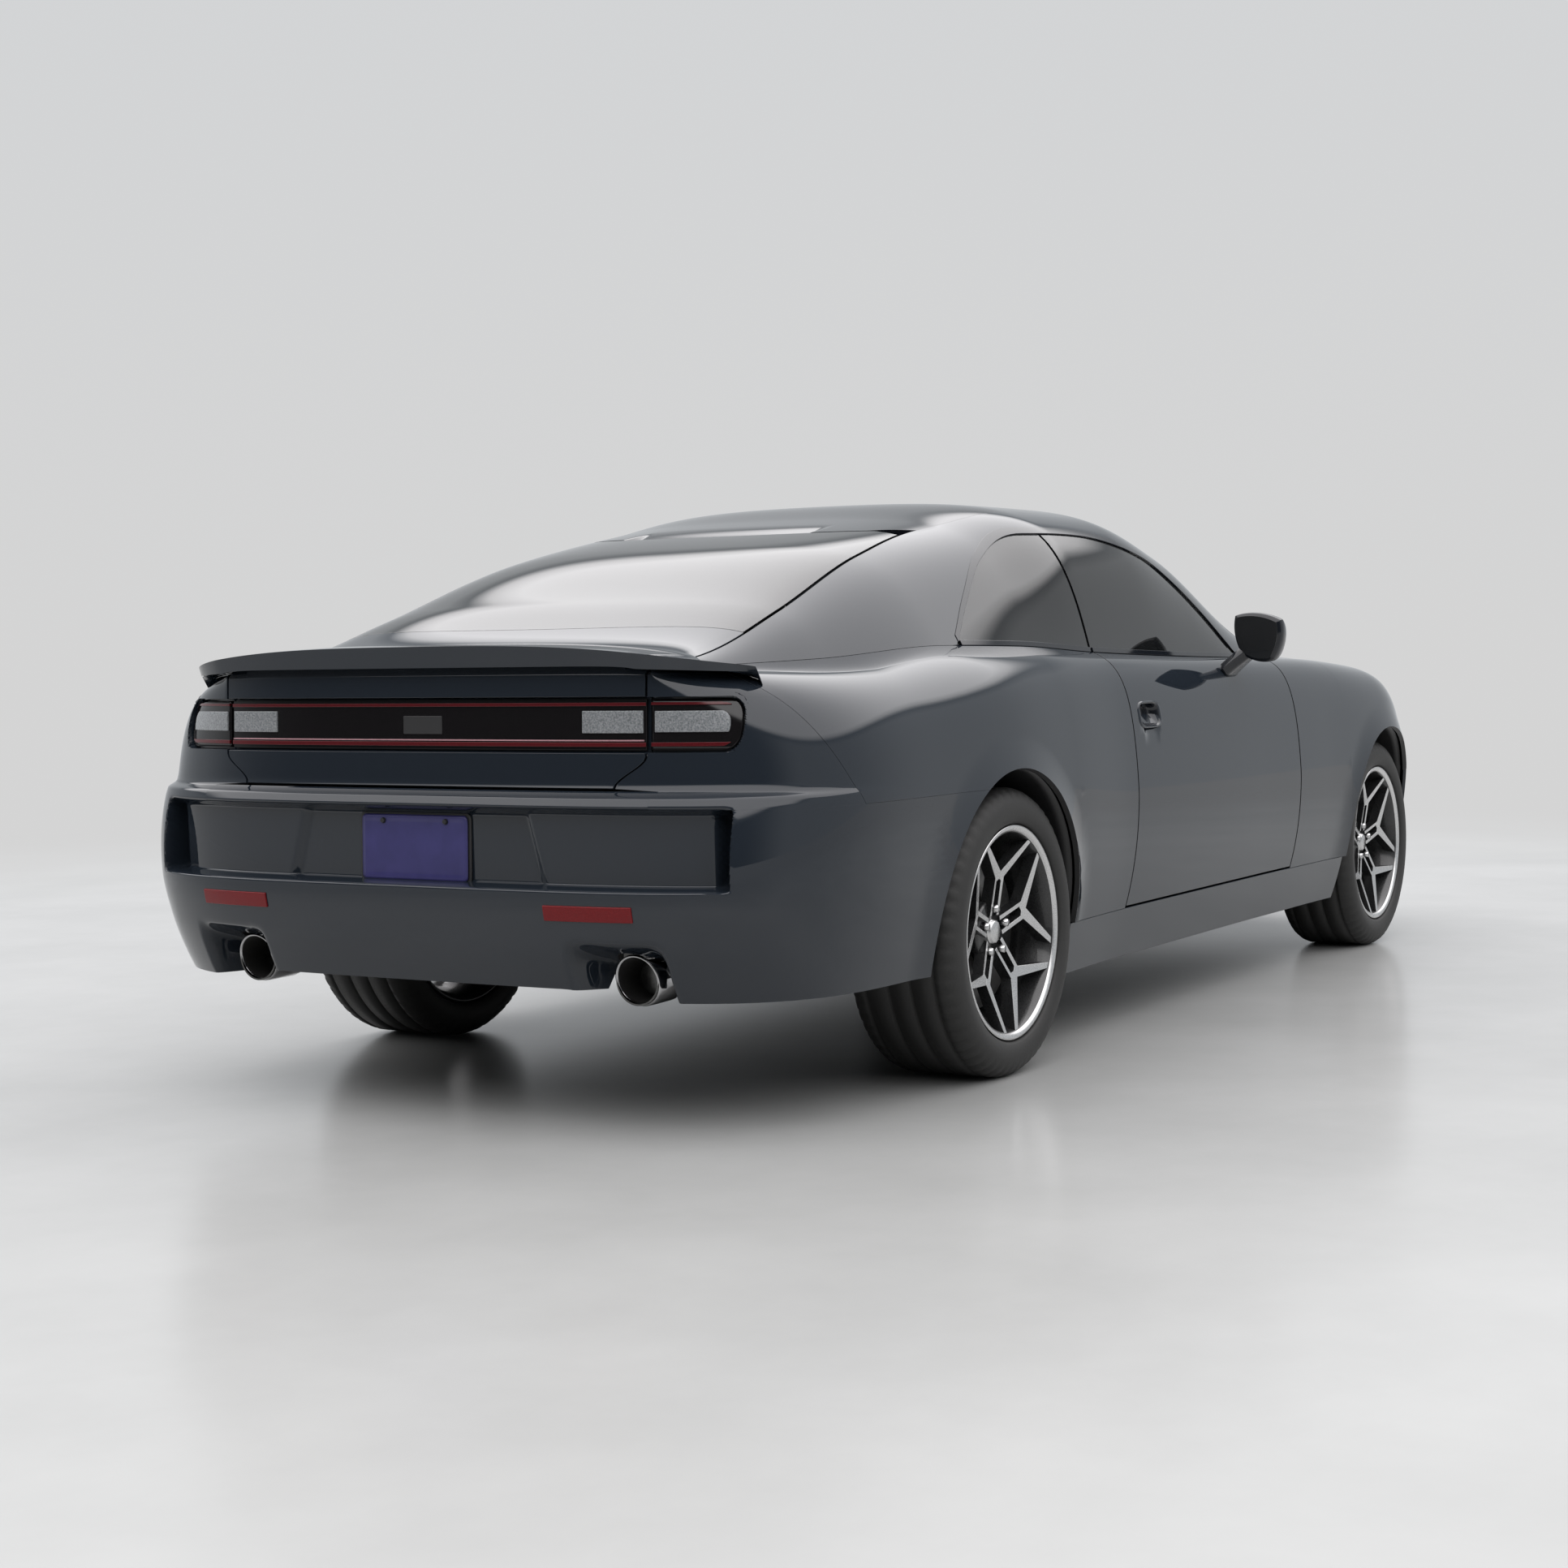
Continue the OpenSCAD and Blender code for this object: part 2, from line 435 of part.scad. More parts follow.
lamp_depth = 24;
module hatch_panel() color("#1b1d20") {
  rr = steps(-1, 1, 14);
  cols = [0, 0.0714, 0.1389, 0.2103, 0.2778, 0.31, 0.315, 0.6, 0.79, 0.795, 0.9, 1, 1.1, 1.3, 1.45, 1.55, 1.62, 1.75, 2];
  band = function (c) c > 0.312 && c < 0.792 ? [lamp_depth, 0, 0] : [0, 0, 0];
  slab([for (c = cols) [for (r = rr) gate(c, r) + band(c)]], [for (c = cols) [for (r = rr) gate_in(c, r) + band(c)]]);
  // frame under the glass, with the hinge arms
  n = 12;
  m = 9;
  loop = concat([for (i = [0 : n - 1]) [lerp(1, -1, i / n), 0]], [for (i = [0 : m - 1]) [-1, i / m]],
                [for (i = [0 : n - 1]) [lerp(-1, 1, i / n), 1]], [for (i = [0 : m - 1]) [1, 1 - i / m]]);
  P = function (q, w, d) let (r = q[0] * lerp(1, 10 / 12, w), c = lerp(q[1], lerp(1 / 9, 8 / 9, q[1]), w), x = lerp(screen_foot_x(r), tailgate_x(r) - 28, c))
    across(x, r, shut + 3) - [0, 0, d];
  // corner plates ahead of the glass, bored for the hinge pins
  B = function (c, r, d) across(lerp(x_gate - 47, tailgate_x(r), c), r, shut + 3) - [0, 0, d];
  difference() {
    union() {
      slab([for (q = loop) [for (w = [0, 1]) P(q, w, glass_t + 3)]], [for (q = loop) [for (w = [0, 1]) P(q, w, glass_t + 26)]], wrap = true);
      for (e = [-1, 1]) {
        rb = e < 0 ? steps(-1, -0.9, 3) : steps(0.9, 1, 3);
        slab([for (c = steps(0, 1, 3)) [for (r = rb) B(c, r, 0)]], [for (c = steps(0, 1, 3)) [for (r = rb) B(c, r, c == 1 ? 12 : 20)]]);
      }
    }
    translate([x_gate, 0, z_gate]) rotate([90, 0, 0]) cylinder(r = gate_pin + pin_fit, h = 2 * half_w, center = true);
  }
}
module roof_panel() color("#141518") roof_panel_shape();
module hatch_lamp() color("#5a0d10") {
  rr = steps(-1, 1, 14);
  cols = [0.33, 0.55, 0.775];
  slab([for (c = cols) [for (r = rr) gate(c, r) + [8, 0, 0]]], [for (c = cols) [for (r = rr) gate(c, r) + [lamp_depth - 0.4, 0, 0]]]);
}
// Height of the tail's deck: the tailgate inside the beltline, the body side outside it
function deck_z(x, y) = let (u = abs(y))
  u <= belt_y(x) ? max(over(CABIN, x, u)[2], u < 606 ? gate_top + 6 : 0) : side_z(x, solve(function (v) -side_y(x, v), -u, 1, 2));
// Spoiler on the tailgate's deck, its ends standing free over the quarter panels
spoiler_half = 812;
module spoiler() color("#1b1d20") {
  side_r = [1, 0.97, 0.93, 0.87, 0.8, 0.749, 0.734];
  rr = concat([for (r = side_r) -r], steps(-0.66, 0.66, 10), [for (i = [len(side_r) - 1 : -1 : 0]) side_r[i]]);
  us = steps(0, 1, 6);
  fall = function (r) pow(abs(r), 3);
  lift = function (r) abs(r) < 0.74 ? 1 : 8;
  xr = function (r) wrap_at(clamp(r * spoiler_half, -800, 800), 1000, true)[0] - 34;
  xf = function (r) xr(r) + 300 * (1 - 0.55 * pow(r, 4));
  zr = function (r) 1036 + 55 * (1 - fall(r));
  zf = function (r) deck_z(xf(r), r * spoiler_half) + lift(r);
  Q = function (u, r) [lerp(xr(r), xf(r), u), -r * spoiler_half, lerp(zr(r), zf(r) + 4, pow(u, 1.15)) + 8 * sin(180 * u) * (1 - fall(r))];
  P = function (u, r) let (q = Q(u, r), x = q[0] + 8 * (1 - u), low = deck_z(x, q[1]) + lift(r)) [x, q[1], min(q[2] - 4, max(lerp(zr(r) - 24 - 26 * (1 - fall(r)), zf(r), u), low))];
  slab([for (u = us) [for (r = rr) Q(u, r)]], [for (u = us) [for (r = rr) P(u, r)]]);
}

// Bonnet, cowl and nose
x_bonnet = x_fa - 720;
function bonnet_front(r) = let (y = r * 700) wrap_x(0, 790, false, x_nose_corner) - 40 - 190 * pow(abs(r), 3.2);
function bonnet_rear(r) = x_bonnet + 80 - 80 * r * r;
function bonnet_at(c, r) = let (x = lerp(bonnet_rear(r), bonnet_front(r), c), y = -r * (side_y(x, 2) - shut - 1 - 34 * pow(c, 4))) over(BONNET, x, y);
x_lid = x_bonnet + 22;
z_lid = belt_z(x_lid) - 24;
module hood() color("#1b1d20") {
  rr = steps(-1, 1, 16);
  cols = concat([0, 0.04], steps(0.12, 1, 10));
  difference() {
    union() {
      slab([for (c = cols) [for (r = rr) bonnet_at(c, r)]], [for (c = cols) [for (r = rr) bonnet_at(c, r) - [0, 0, c == 0 ? 8 : 22]]]);
      for (s = [-1, 1]) translate([x_lid, s * 640, z_lid]) {
        rotate([90, 0, 0]) cylinder(r = pin_r + 6, h = 26, center = true);
        translate([0, -13, -10]) cube([70, 26, 22]);
        translate([40, -13, 0]) cube([30, 26, 34]);
      }
    }
    translate([x_lid, 0, z_lid]) rotate([90, 0, 0]) cylinder(r = pin_r + pin_fit, h = 1500, center = true);
  }
}
module cowl_panel() color("#141518") {
  rr = steps(-1, 1, 12);
  P = function (c, r) c == 0 ? across(screen_x(r), r, seam) + [seam + 0.4, 0, -2] :
    let (x = lerp(screen_x(r) + 25, bonnet_rear(r) - 24, c), q = over(BONNET, x, -r * (belt_y(x) - 62))) [x, q[1], q[2] - 46];
  cols = [0, 0.4, 1];
  slab([for (c = cols) [for (r = rr) P(c, r)]], [for (c = cols) [for (r = rr) P(c, r) - [0, 0, 18]]]);
}
function nose_recess(y, z) = z > 290 && z < 560 ? 70 * ease((680 - abs(y)) / 70) : 0;
function nose_edge(z) = z > arch_z(x_split, x_fa) ? x_split + 1 + seam : x_fa + arch_x(z) + 1;
module front_bumper() color("#1b1d20") {
  half = [90, 85, 80, 70, 60, 52, 46, 40, 34, 28, 22, 16, 8];
  cols = concat(half, [0], [for (i = [len(half) - 1 : -1 : 0]) -half[i]]);
  zs = [195, 240, 289, 291, 420, 559, 561, 600, 650, lamp_low];
  P = function (a, z) let (p = wrap(a, z, false, nose_edge(z))) p - [nose_recess(p[1], z), 0, 0];
  in = function (p) let (k = ease((abs(p[1]) - 600) / 250)) p + [-36 * (1 - k), p[1] > 0 ? -18 * k : 18 * k, 0];
  slab([for (a = cols) [for (z = zs) P(a, z)]], [for (a = cols) [for (z = zs) in(P(a, z))]]);
}
module front_grille() color("#101113") {
  half = [28, 22, 16, 8];
  cols = concat(half, [0], [for (i = [3 : -1 : 0]) -half[i]]);
  zs = [296, 420, 554];
  P = function (a, z, d) wrap(a, z, false, nose_edge(z)) - [d, 0, 0];
  slab([for (a = cols) [for (z = zs) P(a, z, 40)]], [for (a = cols) [for (z = zs) P(a, z, 69)]]);
}
module headlamps() color("#d9dde0") {
  half = [80, 66, 52, 40, 28, 14];
  cols = concat(half, [0], [for (i = [len(half) - 1 : -1 : 0]) -half[i]]);
  zs = [lamp_low + seam, 735, lamp_top];
  P = function (a, z, d) wrap(a, z, false, x_split + 60) - [d, 0, 0];
  slab([for (a = cols) [for (z = zs) P(a, z, 6)]], [for (a = cols) [for (z = zs) let (p = P(a, z, 6), k = ease((abs(p[1]) - 600) / 250)) p + [-46 * (1 - k), p[1] > 0 ? -34 * k : 34 * k, 0]]]);
}

// Structure, running gear and cabin, in plain solids
rail_y = 455;
tub_y = 618;
fw_x = x_fa - 560;
module floor_pan() color("#26282b") {
  // floor, tunnel, fire wall, rear floor and the two rails
  difference() {
    translate([x_ra + 400, -door_in + seam, sill_z - 20]) cube([fw_x - x_ra - 400 - 100, 2 * (door_in - seam), floor_h - sill_z + 20]);
    translate([x_ra + 430, -150, sill_z - 21]) cube([fw_x - x_ra, 300, 60]);
  }
  translate([x_ra + 400, -130, floor_h - 1]) cube([fw_x - x_ra - 400, 260, 130]);
  translate([fw_x - 120, -door_in + 72, sill_z - 20]) cube([60, 2 * (door_in - 72), 740]);
  translate([x_ra - 760, -tub_y, 500]) cube([1200, 2 * tub_y, 40]);
  translate([x_ra + 400, -tub_y, sill_z - 20]) cube([40, 2 * tub_y, 560 - sill_z]);
  for (s = [-1, 1]) {
    translate([x_ra - 760, s * tub_y - (s > 0 ? 30 : 0), 501]) cube([1190, 30, 210]);
    translate([fw_x - 70, s * rail_y - (s > 0 ? 70 : 0), 430]) cube([x_nose - 330 - fw_x + 70, 70, 110]);
    // hinge post with the door's pins
    translate([x_hinge - 25, s > 0 ? 700 : -y_hinge + 50, sill_top + seam]) cube([110, y_hinge - 750, 590]);
    translate([x_hinge - 25, s > 0 ? 700 : -door_in + seam, sill_z + 60]) cube([110, door_in - seam - 700, sill_top - sill_z]);
    for (z = [430, 780]) {
      translate([x_hinge - 12, s > 0 ? y_hinge - 60 : -y_hinge - 8, z - 18]) cube([24, 68, 12]);
      translate([x_hinge, s * y_hinge, z - 12]) cylinder(r = pin_r, h = 52);
    }
    // latch post
    translate([x_fa - 2370, s > 0 ? 740 : -850, sill_top + seam]) cube([90, 110, 610]);
    translate([x_fa - 2370, s > 0 ? 740 : -door_in + seam, sill_z + 60]) cube([90, door_in - seam - 740, sill_top - sill_z]);
    // bonnet hinge carrier
    translate([x_lid - 12, s * 640 - 40, z_lid - 110]) cube([70, 22, 120]);
    translate([x_lid - 12, s * 640 + 18, z_lid - 110]) cube([70, 22, 120]);
    translate([x_lid, s * 640 - 39, z_lid]) rotate([-90, 0, 0]) cylinder(r = pin_r, h = 78);
  }
  translate([x_nose - 400, -rail_y - 40, 420]) cube([70, 2 * rail_y + 80, 130]);
}
module sills() color("#1b1d20") { sill(); right() sill(); }
module wheel_liner(xc, yin, yout, r) {
  difference() {
    translate([xc, yin, wheel_z]) rotate([-90, 0, 0]) cylinder(r = r + 6, h = yout - yin);
    translate([xc, yin + 6, wheel_z]) rotate([-90, 0, 0]) cylinder(r = r, h = yout);
    translate([xc - 600, yin - 10, -400]) cube([1200, yout + 20, 400 + wheel_z + 40]);
  }
}
module wheel_liners() color("#17181a") {
  for (m = [0, 1]) mirror([0, m, 0]) {
    wheel_liner(x_fa, rail_y + seam, half_w - 164, arch_r + 6);
    wheel_liner(x_rear_arch, tub_y + seam, half_w - 60, arch_r + 6);
  }
}
module engine() color("#3a3c3f") {
  translate([x_fa - 360, -290, 330]) cube([640, 580, 430]);
  translate([x_fa - 300, -240, 759]) cube([520, 480, 70]);
}
module front_subframe() color("#2b2d30") {
  translate([x_fa - 380, -rail_y + 10, 250]) cube([700, 2 * rail_y - 20, 79.7]);
  for (s = [-1, 1]) {
    translate([x_fa - 330, s * 400 - 40, 329]) cube([80, 80, 101]);
    translate([x_fa + 220, s * 400 - 40, 329]) cube([80, 80, 101]);
    difference() {
      union() {
        translate([x_fa - 45, s > 0 ? rail_y - 20 : -king_y - 30, king_lo - 34]) cube([90, king_y - rail_y + 50, 30]);
        translate([x_fa, s * king_y, king_lo - 34]) cylinder(r = 40, h = 30);
      }
      translate([x_fa, s * king_y, king_lo - 60]) cylinder(r = 14 + pin_fit, h = 80);
    }
  }
}
king_y = front_track / 2 - 60;
king_lo = 288;
module knuckle() {
  // upright, king pin and stub axle; y points outwards
  translate([x_fa, king_y, king_lo - 34]) cylinder(r = 14, h = 60);
  translate([x_fa, king_y, king_lo + 2]) cylinder(r = 34, h = 180);
  translate([x_fa, king_y - 1, wheel_z]) rotate([-90, 0, 0]) cylinder(r = 48, h = front_track / 2 - 20 - king_y);
  translate([x_fa, king_y, wheel_z]) rotate([-90, 0, 0]) cylinder(d = hub_bore - 2 * pin_fit, h = front_track / 2 + front_tyre_w / 2 - 90 - king_y);
}
module knuckle_left() color("#4a4d50") knuckle();
module knuckle_right() color("#4a4d50") right() knuckle();
module rear_axle() color("#2b2d30") {
  translate([x_ra, 0, wheel_z]) rotate([-90, 0, 0]) cylinder(r = 120, h = 260, center = true);
  translate([x_ra, 0, wheel_z]) rotate([-90, 0, 0]) cylinder(r = 24, h = rear_track - 200, center = true);
  translate([x_ra - 160, -tub_y + 20, 250]) cube([320, 2 * tub_y - 40, 60]);
  for (s = [-1, 1], e = [-1, 1]) translate([x_ra + e * 120 - 30, s * 500 - 30, 300]) cube([60, 60, 200 - seam]);
  for (s = [-1, 1]) translate([x_ra, s * (rear_track / 2 - 130), wheel_z]) rotate([-90 * s, 0, 0]) {
    cylinder(r = 60, h = 110);
    cylinder(d = hub_bore - 2 * pin_fit, h = 130 + rear_tyre_w / 2 - 90);
  }
  for (s = [-1, 1]) translate([x_ra - 40, s > 0 ? tub_y - 30 : -rear_track / 2 + 100, 262]) cube([80, rear_track / 2 - 100 - tub_y + 30, 60]);
}
module exhaust() color("#9a9da0") {
  for (s = [-1, 1]) {
    translate([x_tip + 70, s * tip_y, tip_z]) rotate([0, 90, 0]) cylinder(r = 38, h = 240);
    translate([x_tip + 290, s > 0 ? tip_y - 230 : -tip_y - 60, 290]) cube([300, 290, 210 - seam]);
    difference() {
      translate([x_tip, s * tip_y, tip_z]) rotate([0, 90, 0]) cylinder(r = tip_r, h = 120);
      translate([x_tip - 1, s * tip_y, tip_z]) rotate([0, 90, 0]) cylinder(r = tip_r - 4, h = 90);
    }
  }
}
module dashboard() color("#1d1e20") {
  difference() {
    translate([fw_x - 440, -680, 660]) cube([260, 1360, 235]);
    translate([fw_x - 520, 360 - 180, 560]) rotate([0, -20, 0]) cube([120, 360, 500]);
  }
  translate([fw_x - 190, -640, 540]) cube([70 - seam, 1280, 340]);
  translate([fw_x - 660, 360, 745]) rotate([0, -90 + steer_lean, 0]) translate([0, 0, -360]) cylinder(r = 34, h = 330);
  translate([fw_x - 660, 360, 745]) rotate([0, -90 + steer_lean, 0]) translate([0, 0, -40]) cylinder(r = 14, h = 44);
}
steer_lean = 22;
module steering_wheel() color("#161719") {
  translate([fw_x - 660, 360, 745]) rotate([0, -90 + steer_lean, 0]) {
    rotate_extrude() translate([steer_d / 2 - 15, 0]) circle(r = 15);
    difference() {
      translate([0, 0, -22]) cylinder(r = 55, h = 44);
      translate([0, 0, -23]) cylinder(r = 14 + pin_fit, h = 33);
    }
    for (a = [0, 90, 180]) rotate([0, 0, a + 90]) translate([40, -16, -9]) cube([steer_d / 2 - 54, 32, 18]);
  }
}
module seat(y0, w) {
  translate([0, y0 + w / 2, 0]) rotate([90, 0, 0]) linear_extrude(w)
    polygon([[0, 0], [500, 0], [520, 60], [505, 130], [90, 95], [-110, 640], [-190, 650], [-215, 600], [-120, 120], [-60, 0]]);
  translate([-190, y0 + w * 0.28, 655]) rotate([90, 0, 0]) linear_extrude(w * 0.56)
    polygon([[0, 0], [70, 0], [50, 150], [-30, 160], [-50, 140]]);
  for (s = [-1, 1]) translate([-195, y0 + s * 70 - 8, 600]) rotate([0, -10, 0]) cube([16, 16, 90]);
  translate([20, y0 - w * 0.4, -120]) cube([420, w * 0.8, 121]);
}
module seats() color("#202124") {
  for (s = [-1, 1]) translate([x_fa - 2060, s * 390, floor_h + 120 + seam]) seat(0, seat_w);
  for (s = [-1, 1]) translate([x_ra + 444, s * 358, floor_h + 120]) rotate([90, 0, 0]) linear_extrude(430, center = true)
    polygon([[0, -120 + seam], [400, -120 + seam], [430, 60], [410, 130], [80, 100], [-90, 520], [-170, 530], [-190, 480], [-60, 128], [0, 128]]);
}
module mirror_shape() {
  xm = x_fa - 1410;
  zm = belt_z(xm) + 62;
  ym = side_y(xm, 1.8);
  // foot on the door's shoulder
  slab([for (x = steps(xm - 40, xm + 50, 3)) [for (v = steps(1.7, 1.95, 3)) let (q = side(x, v)) [x, q[1] + (v < 1.75 ? 12 : 0), zm - 20]]],
       [for (x = steps(xm - 40, xm + 50, 3)) [for (v = steps(1.7, 1.95, 3)) side(x, v) + [0, 0, 0.6]]]);
  // housing: a dome in front of a flat glass
  us = steps(1, -1, 12);
  vs = steps(-1, 1, 10);
  E = function (u, v) [ym + 92 + u * 82 * (1 - 0.10 * v * v), zm + 10 + v * 68 * (1 - 0.16 * u * u)];
  round = function (q) pow(max(0, 1 - pow(abs(q), 2.4)), 0.5);
  slab([for (u = us) [for (v = vs) let (e = E(u, v)) [xm + 8 + 94 * round(u) * round(v), e[0], e[1]]]],
       [for (u = us) [for (v = vs) let (e = E(u, v)) [xm - 22, e[0], e[1]]]]);
}
module wheel(w, track, x, s) translate([x, s * track / 2, wheel_z]) rotate([-90 * s, 0, 0]) children();
// Tyre and rim about +Z, which points out of the car
module tyre(w) color("#141414") rotate_extrude($fn = 96) polygon([
  [rim_d / 2 + seam, w / 2 - 16], [rim_d / 2 + 22, w / 2 - 3], [rim_d / 2 + 46, w / 2], [tyre_d / 2 - 26, w / 2 - 6], [tyre_d / 2 - 6, w / 2 - 22], [tyre_d / 2, w / 2 - 42],
  [tyre_d / 2, -w / 2 + 42], [tyre_d / 2 - 6, -w / 2 + 22], [tyre_d / 2 - 26, -w / 2 + 6], [rim_d / 2 + 46, -w / 2], [rim_d / 2 + 22, -w / 2 + 3], [rim_d / 2 + seam, -w / 2 + 16],
  [rim_d / 2 + seam, -w / 2 + 32], [rim_d / 2 + 50, -w / 2 + 16], [tyre_d / 2 - 18, -w / 2 + 40], [tyre_d / 2 - 18, w / 2 - 40], [rim_d / 2 + 50, w / 2 - 16], [rim_d / 2 + seam, w / 2 - 32]]);
function polar(r, a) = [r * cos(a), r * sin(a)];
fork_half = 28.5;
module rim(w) color("#55585c") {
  R = rim_d / 2;
  lip = w / 2 - 11;
  rotate_extrude($fn = 96) polygon([[R - 8, lip], [R, lip], [R, lip - 14], [R - 14, lip - 26], [R - 30, lip - 64], [R - 30, -lip + 60], [R - 14, -lip + 24], [R, -lip + 12], [R, -lip], [R - 8, -lip],
    [R - 24, -lip + 28], [R - 40, -lip + 62], [R - 40, lip - 66], [R - 22, lip - 28]]);
  // forked spokes: flat outlines trimmed to a dished band
  difference() {
    intersection() {
      union() for (k = [0 : spokes - 1]) rotate([0, 0, 360 / spokes * k + 90]) linear_extrude(2 * w, center = true) polygon(concat(
        [[40, -25], [R * 0.5, -24]], [polar(R - 18, -fork_half - 4), polar(R - 18, -fork_half + 2), [R * 0.58, 0], polar(R - 18, fork_half - 2), polar(R - 18, fork_half + 4)],
        [[R * 0.5, 24], [40, 25]]));
      rotate_extrude($fn = 96) polygon([[30, lip - 55], [90, lip - 50], [R * 0.6, lip - 32], [R - 18, lip - 12], [R - 18, lip - 46], [R * 0.6, lip - 62], [90, lip - 82], [30, lip - 84]]);
    }
    cylinder(d = hub_bore, h = 2 * w, center = true);
    for (k = [0 : spokes - 1]) rotate([0, 0, 360 / spokes * k + 90]) translate([78, -15, lip - 58]) cube([R * 0.5 - 84, 30, 60]);
  }
  difference() {
    translate([0, 0, lip - 88]) cylinder(r = 80, h = 28);
    cylinder(d = hub_bore, h = 2 * w, center = true);
  }
  for (k = [0 : spokes - 1]) rotate([0, 0, 360 / spokes * k + 90]) translate([57.5, 0, lip - 61]) cylinder(r = 10, h = 18, $fn = 6);
  // brake disc on the hub
  difference() {
    translate([0, 0, lip - 130]) cylinder(r = disc_d / 2, h = 30);
    translate([0, 0, lip - 131]) cylinder(d = hub_bore + 60, h = 32);
  }
  difference() {
    translate([0, 0, lip - 131]) cylinder(r = 78, h = 44);
    cylinder(d = hub_bore, h = 2 * w, center = true);
  }
}
module rim_front_left() wheel(front_tyre_w, front_track, x_fa, 1) rim(front_tyre_w);
module rim_front_right() wheel(front_tyre_w, front_track, x_fa, -1) rim(front_tyre_w);
module rim_rear_left() wheel(rear_tyre_w, rear_track, x_ra, 1) rim(rear_tyre_w);
module rim_rear_right() wheel(rear_tyre_w, rear_track, x_ra, -1) rim(rear_tyre_w);
module tyre_front_left() wheel(front_tyre_w, front_track, x_fa, 1) tyre(front_tyre_w);
module tyre_front_right() wheel(front_tyre_w, front_track, x_fa, -1) tyre(front_tyre_w);
module tyre_rear_left() wheel(rear_tyre_w, rear_track, x_ra, 1) tyre(rear_tyre_w);
module tyre_rear_right() wheel(rear_tyre_w, rear_track, x_ra, -1) tyre(rear_tyre_w);

module fender_left() color("#1b1d20") fender();
module fender_right() color("#1b1d20") right() fender();
module quarter_left() color("#1b1d20") quarter();
module quarter_right() color("#1b1d20") right() quarter();
module framed() {
  side_frame();
  translate([x_gate, edge_y(x_gate) - 34, z_gate]) rotate([-90, 0, 0]) cylinder(r = gate_pin, h = 46);
}
module side_frame_left() color("#1b1d20") framed();
module side_frame_right() color("#1b1d20") right() framed();
module quarter_windows() color("#15191c") { quarter_window(); right() quarter_window(); }
module door_left() color("#1b1d20") door();
module door_right() color("#1b1d20") right() door();
module door_glass_left() color("#15191c") door_window();
module door_glass_right() color("#15191c") right() door_window();
module mirror_left() color("#0d0e10") mirror_shape();
module mirror_right() color("#0d0e10") right() mirror_shape();

floor_pan();
sills();
fender_left();
fender_right();
quarter_left();
quarter_right();
side_frame_left();
side_frame_right();
roof_panel();
windshield();
quarter_windows();
cowl_panel();
front_bumper();
front_grille();
headlamps();
rear_bumper();
tail_lamps();
exhaust();
engine();
front_subframe();
rear_axle();
wheel_liners();
dashboard();
seats();
door_left();
door_glass_left();
mirror_left();
door_right();
door_glass_right();
mirror_right();
hatch_panel();
hatch_glass();
spoiler();
hatch_lamp();
hood();
steering_wheel();
knuckle_left();
knuckle_right();
rim_front_left();
tyre_front_left();
rim_front_right();
tyre_front_right();
rim_rear_left();
tyre_rear_left();
rim_rear_right();
tyre_rear_right();
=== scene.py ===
import math

import bmesh
import bpy
import numpy as np
from mathutils import Matrix, Vector


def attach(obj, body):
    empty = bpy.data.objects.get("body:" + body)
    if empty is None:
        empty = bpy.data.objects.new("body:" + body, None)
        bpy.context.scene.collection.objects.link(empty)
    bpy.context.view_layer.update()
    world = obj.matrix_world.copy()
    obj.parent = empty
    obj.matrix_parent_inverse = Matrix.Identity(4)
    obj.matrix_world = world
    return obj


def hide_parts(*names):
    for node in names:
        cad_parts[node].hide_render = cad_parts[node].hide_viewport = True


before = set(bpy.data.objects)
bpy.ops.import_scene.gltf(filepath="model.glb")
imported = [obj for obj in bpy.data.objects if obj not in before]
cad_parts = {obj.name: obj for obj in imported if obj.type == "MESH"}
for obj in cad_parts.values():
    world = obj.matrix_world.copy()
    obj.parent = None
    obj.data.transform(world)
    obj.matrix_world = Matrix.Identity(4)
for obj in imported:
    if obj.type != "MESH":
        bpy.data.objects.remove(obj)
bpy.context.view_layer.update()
scene = bpy.context.scene
scene.view_settings.view_transform = "Standard"

# Camera: it stands low behind the car's right corner, a little under head height,
# with a short telephoto lens, and is rolled by less than a degree.
yaw, pitch, roll = math.radians(30.299), math.radians(-3.002), math.radians(-0.876)
ahead = Vector((math.cos(yaw) * math.cos(pitch), math.sin(yaw) * math.cos(pitch), math.sin(pitch)))
level = Vector((math.sin(yaw), -math.cos(yaw), 0))
upright = level.cross(ahead)
aside = level * math.cos(roll) + upright * math.sin(roll)
upwards = -level * math.sin(roll) + upright * math.cos(roll)
camera = bpy.data.objects.new("camera", bpy.data.cameras.new("camera"))
camera.data.lens = 58.49
camera.data.sensor_width = 36
turned = Matrix((aside, upwards, -ahead)).transposed().to_4x4()
camera.matrix_world = Matrix.Translation((-7.162, -3.678, 1.070)) @ turned
scene.collection.objects.link(camera)
scene.camera = camera


# Room: a pale resin floor with a soft sheen under a plain pale surround. The surround
# brightens into one wide soft ceiling light, which the paint and the glass mirror.
def node(tree, kind, *feeds, **values):
    """A shader node: feeds are linked to its inputs in order, values go to inputs or settings."""
    made = tree.nodes.new("ShaderNode" + kind)
    for key, value in values.items():
        if key in made.inputs:
            made.inputs[key].default_value = value
        else:
            setattr(made, key, value)
    for socket, feed in zip(made.inputs, feeds):
        tree.links.new(feed, socket)
    return made


def ramp(tree, source, stops):
    made = node(tree, "ValToRGB", source)
    while len(made.color_ramp.elements) < len(stops):
        made.color_ramp.elements.new(0.5)
    for element, (place, colour) in zip(made.color_ramp.elements, stops):
        element.position = place
        element.color = (*colour, 1)
    return made.outputs["Color"]


